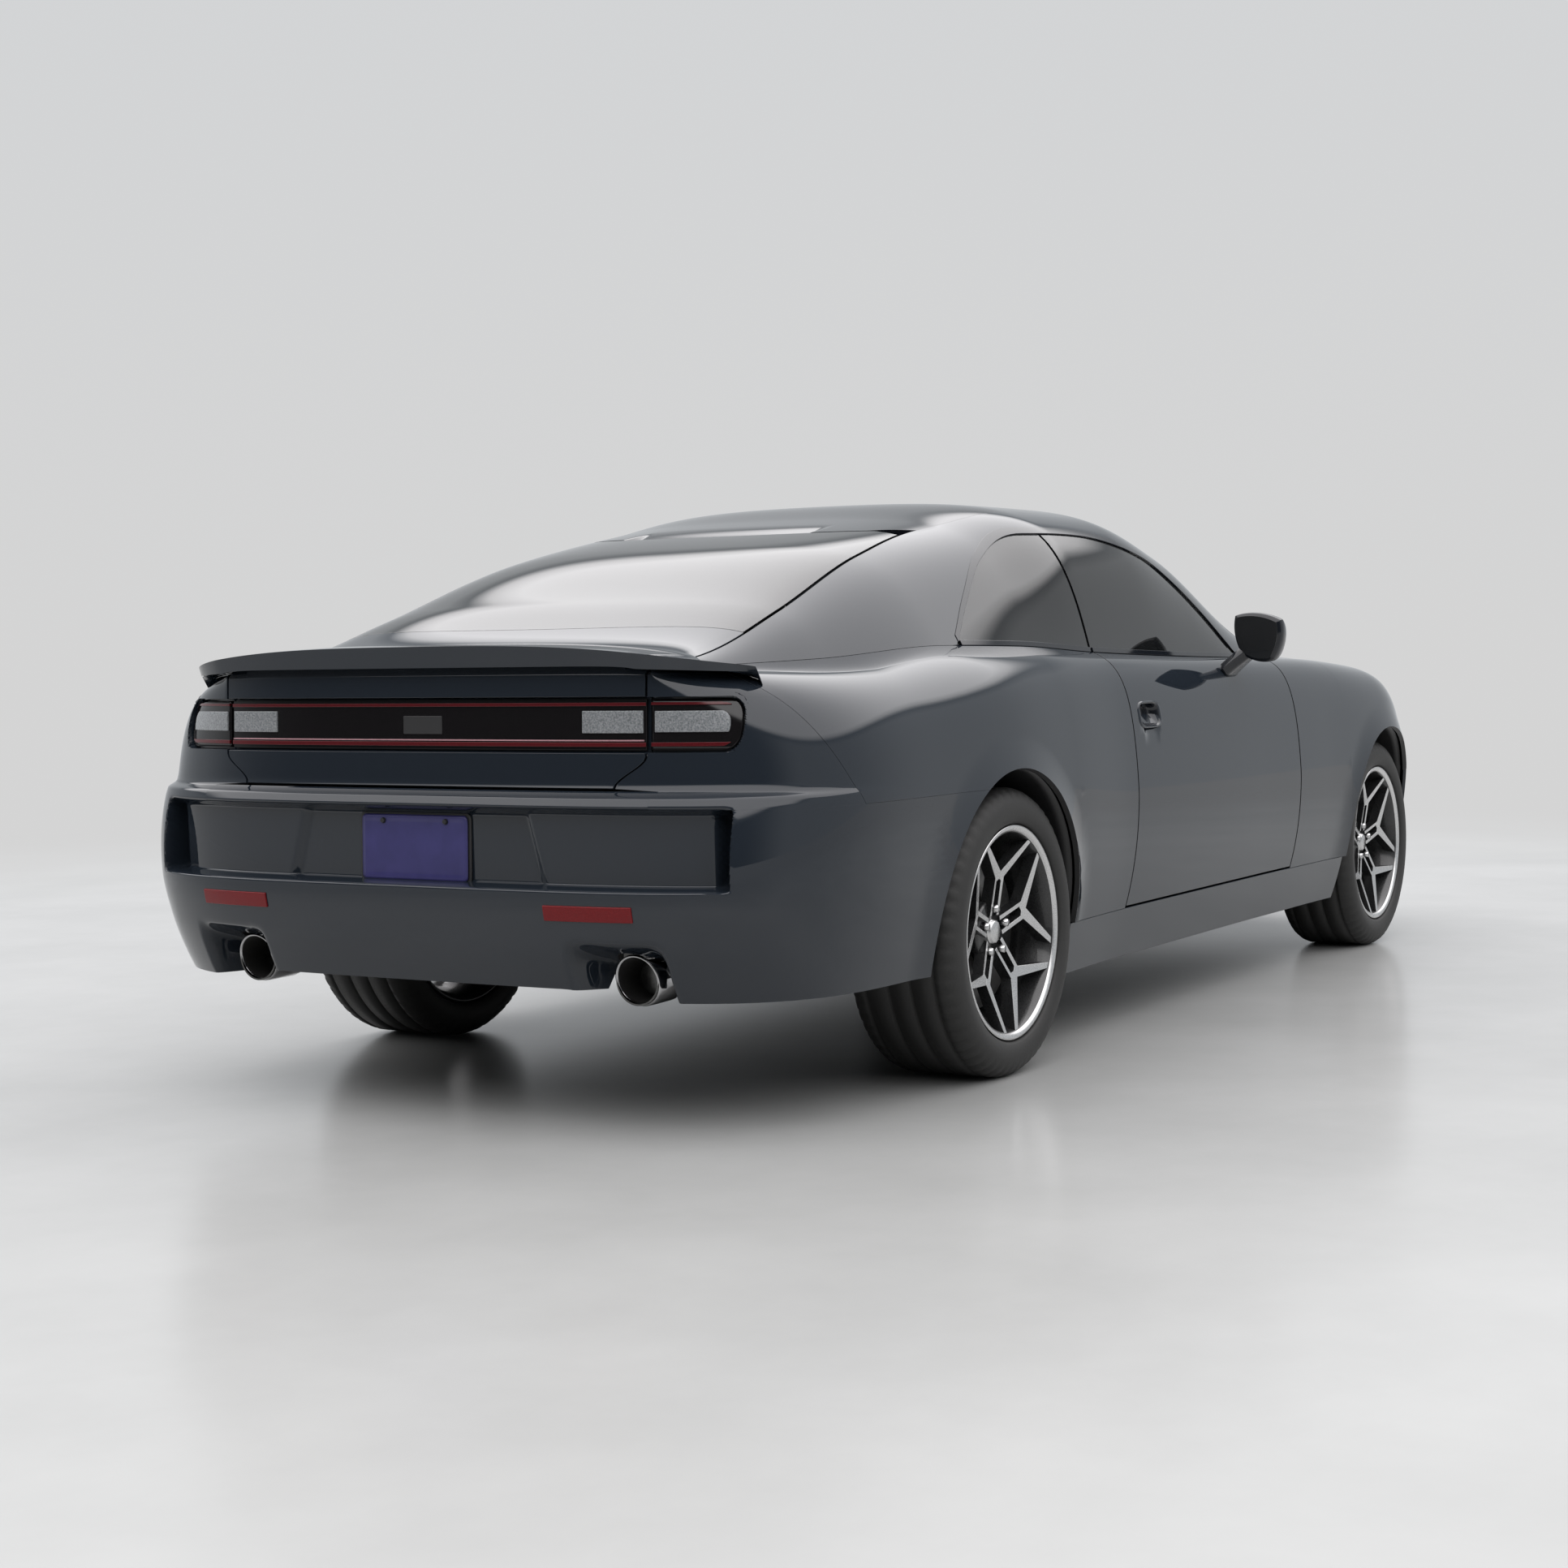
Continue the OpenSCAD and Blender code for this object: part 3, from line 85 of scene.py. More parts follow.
room = bpy.data.worlds.new("room")
scene.world = room
room.use_nodes = True
tree = room.node_tree
tree.nodes.clear()
ray = node(tree, "TexCoord")
apart = node(tree, "SeparateXYZ", ray.outputs["Generated"])
aim_x, aim_z = apart.outputs["X"], apart.outputs["Z"]
wall_tone = ramp(
    tree,
    aim_z,
    [
        (0.0, (0.60, 0.62, 0.64)),
        (0.36, (0.58, 0.60, 0.62)),
        (0.40, (0.38, 0.40, 0.42)),
        (0.43, (0.96, 0.95, 0.96)),
        (0.8, (1.0, 0.98, 0.99)),
    ],
)
lit = node(tree, "MapRange", aim_z, **{"From Min": 0.40, "From Max": 0.46, "To Min": 1.0, "To Max": 2.6})
dim = {"From Min": -0.75, "From Max": -0.20, "To Min": 0.13, "To Max": 1.0}
doorway = node(tree, "MapRange", aim_x, interpolation_type="SMOOTHSTEP", **dim)
above = node(tree, "MapRange", aim_z, **{"From Min": 0.36, "From Max": 0.42})
opening = node(tree, "Math", doorway.outputs[0], above.outputs[0], operation="MAXIMUM")
strength = node(tree, "Math", lit.outputs[0], opening.outputs[0], operation="MULTIPLY")
glow = node(tree, "Background", wall_tone, strength.outputs[0])
plain = node(tree, "Background", ramp(tree, aim_z, [(0.0, (0.66, 0.66, 0.66)), (0.25, (0.65, 0.66, 0.67))]))
path = node(tree, "LightPath")
seen = node(tree, "MixShader", path.outputs["Is Camera Ray"], glow.outputs[0], plain.outputs[0])
node(tree, "OutputWorld", seen.outputs[0])

bm = bmesh.new()
bmesh.ops.create_circle(bm, cap_ends=True, segments=96, radius=30.0)
floor_mesh = bpy.data.meshes.new("floor")
bm.to_mesh(floor_mesh)
bm.free()
floor = bpy.data.objects.new("floor", floor_mesh)
scene.collection.objects.link(floor)
resin = bpy.data.materials.new("floor_resin")
resin.use_nodes = True
tree = resin.node_tree
spot = node(tree, "TexCoord").outputs["Object"]
cloud = node(tree, "TexNoise", spot, Scale=0.9, Detail=6.0, Roughness=0.6)
shader = tree.nodes["Principled BSDF"]
resin_tone = ramp(tree, cloud.outputs["Fac"], [(0.3, (0.33, 0.335, 0.33)), (0.7, (0.39, 0.395, 0.39))])
tree.links.new(resin_tone, shader.inputs["Base Color"])
shader.inputs["Roughness"].default_value = 0.22
shader.inputs["Specular IOR Level"].default_value = 0.4
far = node(tree, "VectorMath", spot, operation="LENGTH")
span = {"From Min": 4.2, "From Max": 9.0}
fade = node(tree, "MapRange", far.outputs["Value"], interpolation_type="SMOOTHSTEP", **span)
distance = node(tree, "Emission", Color=(0.66, 0.66, 0.66, 1))
blend = node(tree, "MixShader", fade.outputs[0], shader.outputs[0], distance.outputs[0])
tree.links.new(blend.outputs[0], tree.nodes["Material Output"].inputs["Surface"])
floor_mesh.materials.append(resin)


# Front fenders: pressed steel over each front wheel, bolted from the door's front edge to the
# bumper and the lamp band, painted near black with fine flake under a clear coat. They are cut
# from the one surface of the body's sides: tables in metres, insets from half the body's width.
half_w, x_nose, x_tail = 1.014, 2.624, -2.624
x_fa, x_ra, wheel_z = 1.640, -1.434, 0.361
sill_z, sill_top, belt_h = 0.200, 0.345, 1.040
# x, widest inset, widest z, sill extra inset, shoulder inset, shoulder z, belt inset, belt z
BODY = [
    (x_nose, 0.080, 0.570, 0.110, 0.140, 0.772, 0.300, 0.778),
    (x_fa + 0.56, 0.060, 0.590, 0.085, 0.096, 0.895, 0.265, 0.905),
    (x_fa, 0.008, 0.650, 0.070, 0.026, belt_h - 0.056, 0.240, belt_h - 0.046),
    (x_fa - 0.64, 0.024, 0.650, 0.075, 0.042, belt_h - 0.030, 0.190, belt_h - 0.020),
    (x_fa - 1.25, 0.030, 0.650, 0.078, 0.050, belt_h - 0.032, 0.160, belt_h - 0.012),
    (x_fa - 2.25, 0.028, 0.660, 0.078, 0.048, belt_h - 0.028, 0.165, belt_h + 0.012),
    (x_ra + 0.38, 0.012, 0.690, 0.076, 0.030, belt_h - 0.018, 0.185, belt_h + 0.032),
    (x_ra, 0.000, 0.710, 0.074, 0.016, belt_h - 0.012, 0.222, belt_h + 0.036),
    (x_ra - 0.46, 0.006, 0.730, 0.078, 0.026, belt_h - 0.018, 0.300, belt_h + 0.010),
    (x_ra - 0.85, 0.008, 0.735, 0.084, 0.034, belt_h - 0.024, 0.372, belt_h - 0.002),
    (x_tail, 0.010, 0.735, 0.090, 0.040, belt_h - 0.030, 0.420, belt_h - 0.012),
]
# height, distance in from the end of the car
TAIL = [
    (1.100, 0.105), (1.030, 0.100), (0.790, 0.093), (0.766, 0.086), (0.751, 0.048), (0.545, 0.004),
    (0.437, 0.026), (0.335, 0.066), (0.200, 0.150),
]
NOSE = [
    (1.000, 0.190), (0.820, 0.060), (0.760, 0.014), (0.640, 0.000), (0.430, 0.008), (0.300, 0.040),
    (0.190, 0.110),
]
shoulder_k = 0.80
x_tail_corner, x_nose_corner, tail_power, nose_power = x_ra - 0.396, x_fa + 0.060, 4.0, 2.3
shut, skin = 0.006, 0.014
arch_r = 0.410
curves = {}


def curve(table, column):
    """Knots, values, steps and slopes of a smooth curve that adds no waves between the table's rows."""
    data = np.array(table, float)[::-1]
    px, py = data[:, 0], data[:, column]
    h = np.diff(px)
    d = np.diff(py) / h
    m = np.concatenate([d[:1], np.zeros(len(d) - 1), d[-1:]])
    for i in range(1, len(d)):
        if d[i - 1] * d[i] > 0:
            wa, wb = 2 * h[i] + h[i - 1], h[i] + 2 * h[i - 1]
            m[i] = (wa + wb) / (wa / d[i - 1] + wb / d[i])
    return px, py, h, m


def read(table, x, column):
    key = (id(table), column)
    if key not in curves:
        curves[key] = curve(table, column)
    px, py, h, m = curves[key]
    q = np.clip(x, px[0], px[-1])
    i = np.clip(np.searchsorted(px, q) - 1, 0, len(h) - 1)
    t = (q - px[i]) / h[i]
    u, w = t * t, t * t * t
    start = (2 * w - 3 * u + 1) * py[i] + (w - 2 * u + t) * h[i] * m[i]
    return start + (3 * u - 2 * w) * py[i + 1] + (w - u) * h[i] * m[i + 1]


def spread(*values):
    return np.broadcast_arrays(*(np.asarray(value, float) for value in values))


def points(x, y, z):
    return np.stack(np.broadcast_arrays(x, y, z), -1)


def root(value):
    return np.sqrt(np.maximum(0, value))


def mix(a, b, t):
    return a + (b - a) * t


def bezier(a, b, c, d, t):
    s = 1 - t
    return s * s * s * a + 3 * s * s * t * b + 3 * s * t * t * c + t * t * t * d


def where_reaches(rising, goal, low, high):
    """The place between low and high where a rising function reaches the goal, by halving."""
    goal = np.asarray(goal, float)
    low, high = np.full(goal.shape, float(low)), np.full(goal.shape, float(high))
    for _ in range(22):
        middle = (low + high) / 2
        below = rising(middle) < goal
        low, high = np.where(below, middle, low), np.where(below, high, middle)
    return (low + high) / 2


def tail_x(z):
    return x_tail + read(TAIL, z, 1)


def nose_x(z):
    return x_nose - read(NOSE, z, 1)


def plan(x, z):
    back = np.clip((x_tail_corner - x) / (x_tail_corner - tail_x(z)), 0, 1)
    fore = np.clip((x - x_nose_corner) / (nose_x(z) - x_nose_corner), 0, 1)
    rear, front = (1 - back**tail_power) ** (1 / tail_power), (1 - fore**nose_power) ** (1 / nose_power)
    return np.where(x < 0, rear, front)


def belt_y(x):
    return half_w - read(BODY, x, 6)


def belt_z(x):
    return read(BODY, x, 7)


def side_z(x, v):
    zw, zs, zb = read(BODY, x, 2), read(BODY, x, 5), belt_z(x)
    up = np.clip(v - 1, 0, 1)
    shoulder = bezier(zw, mix(zw, zs, shoulder_k), mix(zb, zs, shoulder_k), zb, up)
    return np.where(v < 1, mix(sill_z, zw, v), shoulder)


def side_y(x, v):
    w, z = half_w - read(BODY, x, 1), side_z(x, v)
    f = plan(x, z)
    ys = (half_w - read(BODY, x, 4)) * f
    yb, wf = np.minimum(belt_y(x), ys - 0.004), w * f
    up = np.clip(v - 1, 0, 1)
    low = wf - read(BODY, x, 3) * np.clip(1 - v, 0, 1) ** 2.2 * f
    return np.where(v < 1, low, bezier(wf, mix(wf, ys, shoulder_k), mix(yb, ys, shoulder_k), yb, up))


def side(x, v):
    """The body's side: v is 0 at the sill, 1 at the widest line and 2 at the belt."""
    x, v = spread(x, v)
    return points(x, side_y(x, v), side_z(x, v))


def side_v(x, z):
    x, z = spread(x, z)
    zw = read(BODY, x, 2)
    over_widest = where_reaches(lambda v: side_z(x, v), z, 1, 2)
    return np.where(z <= zw, (z - sill_z) / (zw - sill_z), over_widest)


def on_edge(edge_x, foot, r):
    """x and v along an upright edge that leans with the height, from foot up to the belt."""
    x = edge_x(np.full(np.shape(r), 0.7))
    for _ in range(3):
        v = mix(side_v(x, foot), 2, r)
        x = edge_x(side_z(x, v))
    return x, mix(side_v(x, foot), 2, r)


def lay(outer, inner=None, rim=0):
    """A sheet over a grid of points that faces out of the car. With inner it is a closed slab,
    and the slab's narrow sides get the material of the number rim; on the doors and side frames
    that is satin black, painted shade on the cut edges that darkens the gaps between the panels."""
    n, m = outer.shape[:2]
    bm = bmesh.new()
    bmesh.ops.create_grid(bm, x_segments=n - 1, y_segments=m - 1, size=0.5)
    cells = [(round((v.co.x + 0.5) * (n - 1)), round((v.co.y + 0.5) * (m - 1))) for v in bm.verts]
    for v, cell in zip(bm.verts, cells):
        v.co = outer[cell]
    if inner is not None:
        place_of = {tuple(v.co): cell for v, cell in zip(bm.verts, cells)}
        broad = set(bm.faces)
        made = bmesh.ops.extrude_face_region(bm, geom=bm.faces[:], use_keep_orig=True)
        for v in made["geom"]:
            if isinstance(v, bmesh.types.BMVert):
                v.co = inner[place_of[tuple(v.co)]]
        broad.update(f for f in made["geom"] if isinstance(f, bmesh.types.BMFace))
        for f in bm.faces:
            f.material_index = 0 if f in broad else rim
        bmesh.ops.recalc_face_normals(bm, faces=bm.faces)
        return bm
    bm.normal_update()
    lean = 0
    for f in bm.faces:
        middle = f.calc_center_median()
        lean += f.normal.dot(middle - Vector((middle.x * 0.3, 0, 0.6))) * f.calc_area()
    if lean < 0:
        bmesh.ops.reverse_faces(bm, faces=bm.faces)
    return bm


def stations(*runs):
    """Column positions as a standing vector, from runs of values."""
    return np.concatenate([np.atleast_1d(run) for run in runs])[:, None]


def rows(count, first=0, last=1):
    return np.linspace(first, last, count)[None, :]


def columns(count, first=0, last=1):
    return np.linspace(first, last, count)[:, None]


def place(name, bm, finish, body, nodes=(), wall=0.0, edge=0.0, mirror=False):
    """The mesh as a piece on a body: mirrored to the right side, given a wall and softened edges."""
    if mirror:
        bmesh.ops.scale(bm, vec=(1, -1, 1), verts=bm.verts)
        bmesh.ops.reverse_faces(bm, faces=bm.faces)
    mesh = bpy.data.meshes.new(name)
    for f in bm.faces:
        f.smooth = True
    bm.to_mesh(mesh)
    bm.free()
    piece = bpy.data.objects.new(name, mesh)
    scene.collection.objects.link(piece)
    for each in finish if isinstance(finish, (list, tuple)) else [finish]:
        mesh.materials.append(each)
    if wall:
        thick = piece.modifiers.new("wall", "SOLIDIFY")
        thick.thickness, thick.offset = wall, -1
        thick.use_even_offset = False
        # The wall's cut edges take the last finish; where that is satin black it is painted shade, which
        # darkens the gaps round the panels.
        thick.material_offset_rim = len(mesh.materials) - 1
    if edge:
        soft = piece.modifiers.new("edge", "BEVEL")
        soft.width, soft.segments, soft.limit_method, soft.angle_limit = edge, 2, "ANGLE", math.radians(50)
        soft.profile = 0.5
        soft.harden_normals = True
    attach(piece, body)
    if nodes:
        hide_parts(*nodes)
    return piece


def coat(name, slot, dark, light, rough, grain=60.0, bump=0.0, **sockets):
    """A finish whose tone and roughness drift over a fine noise. The slot argument is not used."""
    made = bpy.data.materials.new(name)
    made.use_nodes = True
    tree = made.node_tree
    shader = tree.nodes["Principled BSDF"]
    where = node(tree, "TexCoord").outputs["Object"]
    noise = node(tree, "TexNoise", where, Scale=grain, Detail=5.0).outputs["Fac"]
    tree.links.new(ramp(tree, noise, [(0.3, dark), (0.7, light)]), shader.inputs["Base Color"])
    drift = node(tree, "MapRange", noise, **{"To Min": rough * 0.8, "To Max": rough * 1.25})
    tree.links.new(drift.outputs[0], shader.inputs["Roughness"])
    if bump:
        relief = node(tree, "Bump", Strength=bump, Distance=0.001)
        tree.links.new(noise, relief.inputs["Height"])
        tree.links.new(relief.outputs["Normal"], shader.inputs["Normal"])
    for key, value in sockets.items():
        shader.inputs[key.replace("_", " ")].default_value = value
    return made


paint = coat(
    "body_paint", "paint", (0.010, 0.0135, 0.019), (0.015, 0.020, 0.027), 0.5, 2600.0, Coat_Weight=1.0,
    Coat_Roughness=0.015, Specular_IOR_Level=0.0,
)
satin_black = coat(
    "satin_black_plastic", "trim", (0.010, 0.010, 0.0105), (0.018, 0.018, 0.019), 0.45, 420.0, 0.25
)
hands = (("left", False), ("right", True))
sides = (("left", 1), ("right", -1))
hair = 0.0003


def pair(name, grid, finish, body="body", solid="", inner=None, rim=0, **how):
    """The piece on both sides. A body or solid ending in _ takes the hand, a plain solid goes left."""
    for hand, flip in hands:
        owner = body + hand if body.endswith("_") else body
        taken = [solid + hand] if solid.endswith("_") else [solid] if solid and not flip else ()
        place(name + hand, lay(grid, inner, rim), finish, owner, taken, mirror=flip, **how)


x_hinge, hinge_back = x_fa - 0.962, 0.062
x_split, x_fender_end = x_fa + 0.330, x_nose - 0.290
lamp_low, lamp_top = 0.705, 0.765


def door_front(z):
    return x_hinge + hinge_back - 0.2 * (z - 0.690) ** 2


def arch_top(x, centre):
    return wheel_z + root(arch_r**2 - (x - centre) ** 2)


def rise_from(x, low, r):
    return side(*np.broadcast_arrays(x, mix(side_v(x, low), 2, r)))


def flared(grid, centre):
    """The panel with its lip rolled out round the wheel arch."""
    near = np.hypot(grid[..., 0] - centre, grid[..., 2] - wheel_z) - arch_r
    grid[..., 1] += np.sign(grid[..., 1]) * 0.012 * np.clip(1 - near / 0.085, 0, 1) ** 1.5
    return grid


up = rows(40)
c = columns(12)
x_arch_rear = x_fa - arch_r - 0.001
rear_part = on_edge(lambda z: mix(door_front(z) + shut + 0.001, x_arch_rear, c), sill_top + hair, up + 0 * c)
behind_arch = side(*rear_part)
turn = np.radians(np.linspace(179, math.degrees(math.acos((x_split - x_fa) / arch_r)), 36))
c = stations(
    x_fa + arch_r * np.cos(turn),
    x_split + np.array([0.001, 0.03, 0.058, 0.060]),
    np.linspace(x_split + 0.08, x_fender_end, 12),
)
low = np.where(c <= x_split, arch_top(c, x_fa), np.where(c < x_split + 0.059, lamp_low, lamp_top) + hair)
fender = flared(np.concatenate([behind_arch, rise_from(c, low, up)]), x_fa)
# The fender's cut edges are satin black: painted shade that darkens the gaps round the panel and the arch lip.
pair("fender_skin_", fender, [paint, satin_black], solid="fender_", wall=skin, edge=0.0015)


# Doors: long pressed steel shells, hinged at the front edge, each as thick as the whole door.
# The pull handle is a gloss black cup let into the skin, with a painted frame round it.
gloss_black = coat(
    "gloss_black", "gloss_black", (0.006, 0.0075, 0.0105), (0.009, 0.011, 0.015), 0.08, 900.0,
    Specular_IOR_Level=0.5,
)
door_in = 0.812
handle_x, handle_z = -0.481, 0.876


def door_rear(z):
    return x_fa - 2.250 - np.where(z < 0.760, 0.16, 0.04) * (z - 0.760) ** 2


def ease(t):
    t = np.clip(t, 0, 1)
    return t * t * (3 - 2 * t)


def handle_cup(x, z):
    reach = (np.abs((x - handle_x) / 0.070) ** 4 + np.abs((z - handle_z) / 0.031) ** 4) ** (1 / 4)
    return 0.028 * ease((1 - reach) / 0.30)


def handle_ring(reach):
    """Points round the handle at a share of the frame's outline, from 0 in the middle to 1."""
    angle = columns(97, 0, 2 * math.pi)
    bend_x, bend_z = (np.sign(q) * np.abs(q) ** 0.5 for q in (np.cos(angle), np.sin(angle)))
    ring_x, ring_z = handle_x + 0.084 * reach * bend_x, handle_z + 0.0385 * reach * bend_z
    return side(ring_x, side_v(ring_x, ring_z))


def door_grid(c, r, depth):
    x, v = on_edge(lambda z: mix(door_rear(z), door_front(z), c), sill_top + shut, r + 0 * c)
    p = side(x, v)
    if depth == 0:
        p[..., 1] -= handle_cup(p[..., 0], p[..., 2])
        return p
    thin = ease((c - 0.93) / 0.02)
    p[..., 1] = mix(door_in, p[..., 1] - 0.011, thin)
    p[..., 0] += 0.026 * (c == 0) - 0.006 * (c == 1)
    return p


c = stations(np.linspace(0, 0.045, 4), np.linspace(0.05, 0.20, 76), np.linspace(0.22, 1, 40))
r = np.concatenate([rows(20, 0, 0.60), rows(56, 0.605, 0.78), rows(18, 0.79, 1)], 1)
reach = rows(9, 0.80, 1)
bezel = handle_ring(reach)
bezel[..., 1] += 0.0035 * np.sin(math.pi * (reach - 0.80) / 0.20) - 0.0005
cup = handle_ring(rows(22, 0.02, 0.82))
cup[..., 1] += 0.0012 - handle_cup(cup[..., 0], cup[..., 2])
for hand, flip in hands:
    for name, grid, finish, wall in (("frame_", bezel, paint, 0.004), ("cup_", cup, gloss_black, 0)):
        bm = lay(grid)
        bmesh.ops.remove_doubles(bm, verts=bm.verts, dist=1e-6)
        place("door_handle_" + name + hand, bm, finish, "door_" + hand, wall=wall, mirror=flip)
door, door_back = door_grid(c, r, 0), door_grid(c, r, 1)
# The door's narrow sides are satin black: painted shade that darkens the shut lines round the door.
pair("door_skin_", door, [paint, satin_black], "door_", "door_", door_back, 1, edge=0.0015)


# Quarter panels: one steel pressing on each side, welded on from the door's rear edge over the
# rear wheel to the tail lamps, with the widest point of the body over the wheel.
quarter_low, x_rear_arch = 0.728, x_ra - 0.020


def quarter_end(z):
    return mix(x_ra - 0.770, x_ra - 0.925, np.clip((z - quarter_low) / 0.270, 0, 1))


up = rows(90)
fall = math.degrees(math.acos((quarter_low - wheel_z) / arch_r)) + 90
c = columns(30, 1, 0.02)
x_arch_back = x_rear_arch + arch_r * math.cos(math.radians(fall))
behind = side(*on_edge(lambda z: mix(x_arch_back, quarter_end(z), c), quarter_low + hair, up + 0 * c))
c = stations(x_rear_arch + arch_r * np.cos(np.radians(np.linspace(fall, 1, 46))))
round_arch = rise_from(c, arch_top(c, x_rear_arch), up)
c = columns(14, 1, 0)
x_arch_fore = x_rear_arch + arch_r + 0.001
front_part = on_edge(lambda z: mix(door_rear(z) - shut, x_arch_fore, c), sill_top + hair, up + 0 * c)
ahead_of_arch = side(*front_part)
quarter = flared(np.concatenate([behind, round_arch, ahead_of_arch]), x_rear_arch)
# The quarter's cut edges are satin black: painted shade that darkens the gaps round the panel and the arch lip.
pair("quarter_skin_", quarter, [paint, satin_black], solid="quarter_", wall=skin, edge=0.0015)


# Sills: closed steel box sections under the doors, welded to the floor and to the panels at
# both ends, and painted with the body.
c = columns(40, x_rear_arch + arch_r + 0.002, x_fa - arch_r - 0.002)
sill = side(*np.broadcast_arrays(c, rows(12) * side_v(c, sill_top)))
sill_back = sill.copy()
sill_back[..., 1] = door_in
pair("sill_", sill, paint, solid="sills", inner=sill_back, edge=0.004)


# Side frames: windscreen pillar, roof rail and broad rear pillar in one steel pressing, welded
# to the quarter panel and the cowl, with the window opening under it. The cabin's table gives x,
# height on the middle plane and half width of the crown's corner.
top_h, roof_k = 1.498, 0.92
CABIN = [
    (x_fa - 0.48, top_h - 0.580, 0.730),
    (x_fa - 1.0, top_h - 0.290, 0.735),
    (x_fa - 1.42, top_h - 0.075, 0.745),
    (x_fa - 1.78, top_h - 0.003, 0.755),
    (x_fa - 2.2, top_h - 0.006, 0.740),
    (x_fa - 2.6, top_h - 0.066, 0.690),
    (x_ra, top_h - 0.152, 0.640),
    (x_ra - 0.46, top_h - 0.300, 0.630),
    (x_ra - 0.85, top_h - 0.422, 0.600),
    (x_tail, top_h - 0.464, 0.560),
]
# x, inset of the side frame's inner edge
EDGE = [
    (x_fa - 0.82, 0.205), (x_fa - 1.08, 0.238), (x_fa - 1.44, 0.345), (x_fa - 1.79, 0.438),
    (x_fa - 2.24, 0.452), (x_fa - 2.72, 0.486), (x_ra, 0.456), (x_ra - 0.63, 0.414), (x_ra - 1.05, 0.404),
]
# x, height of the side windows' upper edge above the beltline
WINDOW = [
    (x_fa - 1.09, 0.0), (x_fa - 1.30, 0.145), (x_fa - 1.64, 0.300), (x_fa - 2.00, 0.345),
    (x_fa - 2.35, 0.330), (x_fa - 2.65, 0.235), (x_fa - 2.85, 0.115), (x_fa - 3.00, 0.0),
]


def top_y(table, x, t):
    yb, c = belt_y(x), read(table, x, 2)
    return bezier(yb, mix(yb, c, roof_k), c * roof_k, 0, t)


def top_z(table, x, t):
    zb, z = belt_z(x), read(table, x, 1)
    return bezier(zb, mix(zb, z, roof_k), z, z, t)


def top(table, x, t):
    x, t = spread(x, t)
    return points(x, top_y(table, x, t), top_z(table, x, t))


def t_of_y(table, x, y):
    return where_reaches(lambda t: -top_y(table, x, t), -np.asarray(y, float), 0, 1)


def t_of_z(table, x, z):
    return where_reaches(lambda t: top_z(table, x, t), z, 0, 1)


def edge_y(x):
    return half_w - read(EDGE, x, 1)


def screen_foot_x(r):
    return x_ra - 0.655 + 0.030 * r * r


def screen_x(r):
    return x_fa - 0.730 - 0.118 * r * r


def header_x(r):
    return x_fa - 1.510 - 0.200 * r * r


def tailgate_x(r):
    return x_ra + 0.167 + 0.187 * np.abs(r) ** 3


x = columns(130, x_ra - 0.890, float(screen_x(1)))
r = rows(22)
h = read(WINDOW, x, 1)
lift = np.where((x > x_fa - 1.19) & (h < shut + 0.040), shut, 0.0006)
low = t_of_z(CABIN, x, belt_z(x) + np.maximum(h, lift))
high = np.maximum(t_of_y(CABIN, x, edge_y(x)), low + 0.02)
side_frame = top(CABIN, x, mix(low, high, r))
side_frame_back = side_frame + points(0 * r, -0.028 * (1 - r), -0.030 * r)
# The side frame's narrow sides are satin black: painted shade that darkens the gaps round the frame.
pair(
    "side_frame_skin_", side_frame, [paint, satin_black], "body", "side_frame_", side_frame_back, 1,
    edge=0.001,
)


# Roof, windscreen and backlight: one long arc over the cabin. The roof is a gloss black panel,
# the two screens are bonded tinted glass, and the backlight lifts with the tailgate.
glass = coat(
    "tinted_glass", "glass", (0.030, 0.033, 0.035), (0.036, 0.039, 0.041), 0.015, 3.0,
    Transmission_Weight=0.8, IOR=1.55,
)


def over(table, x, y):
    x, y = spread(x, y)
    return points(x, y, top_z(table, x, t_of_y(table, x, np.abs(y))))


def across(x, r, gap):
    x, r = np.broadcast_arrays(x, r)
    return over(CABIN, x, -r * (edge_y(x) - gap))


def roof_gap(r):
    return 0.016 + 0.018 * ease((np.abs(r) - 0.8) / 0.1)


r = rows(121, -1, 1)
c = columns(60)
roof = across(mix(tailgate_x(r) + roof_gap(r), header_x(r), c), r, hair)
roof[..., 2] -= 0.016 * ease((0.30 - np.abs(roof[..., 1])) / 0.02) * ease((x_ra + 0.36 - roof[..., 0]) / 0.17)
place("roof_skin", lay(roof), gloss_black, "body", ["roof_panel"], wall=0.034, edge=0.003)
screen = across(mix(header_x(r) + hair, screen_x(r), c), r, hair)
place("windscreen_glass", lay(screen), glass, "body", ["windshield"], wall=0.006)
x_gate = float(tailgate_x(1)) - 0.015
backlight = across(mix(screen_foot_x(r), np.minimum(tailgate_x(r), x_gate - 0.048), c), r, shut + 0.003)
place("backlight_glass", lay(backlight), glass, "tailgate", ["hatch_glass"], wall=0.006, edge=0.001)


# Side windows: a dropping glass in each door and a fixed quarter glass bonded to the side frame,
# both of the tinted glass of the screens.
def window(x_back, x_front, gap):
    x = columns(50, x_back, x_front)
    low = belt_z(x) + 0.0006
    high = np.maximum(low + 0.005, belt_z(x) + read(WINDOW, x, 1) - gap)
    x, z = np.broadcast_arrays(x, mix(low, high, rows(14)))
    return top(CABIN, x, t_of_z(CABIN, x, z)) - np.array([0, 0.005, 0])


door_pane = window(x_fa - 2.249, x_fa - 1.110, shut + 0.001)
pair("door_window_", door_pane, glass, "door_", "door_glass_", wall=0.006, edge=0.001)
quarter_pane = window(x_fa - 2.985, x_fa - 2.262, 0.0008)
pair("quarter_window_", quarter_pane, glass, solid="quarter_windows", wall=0.006, edge=0.001)


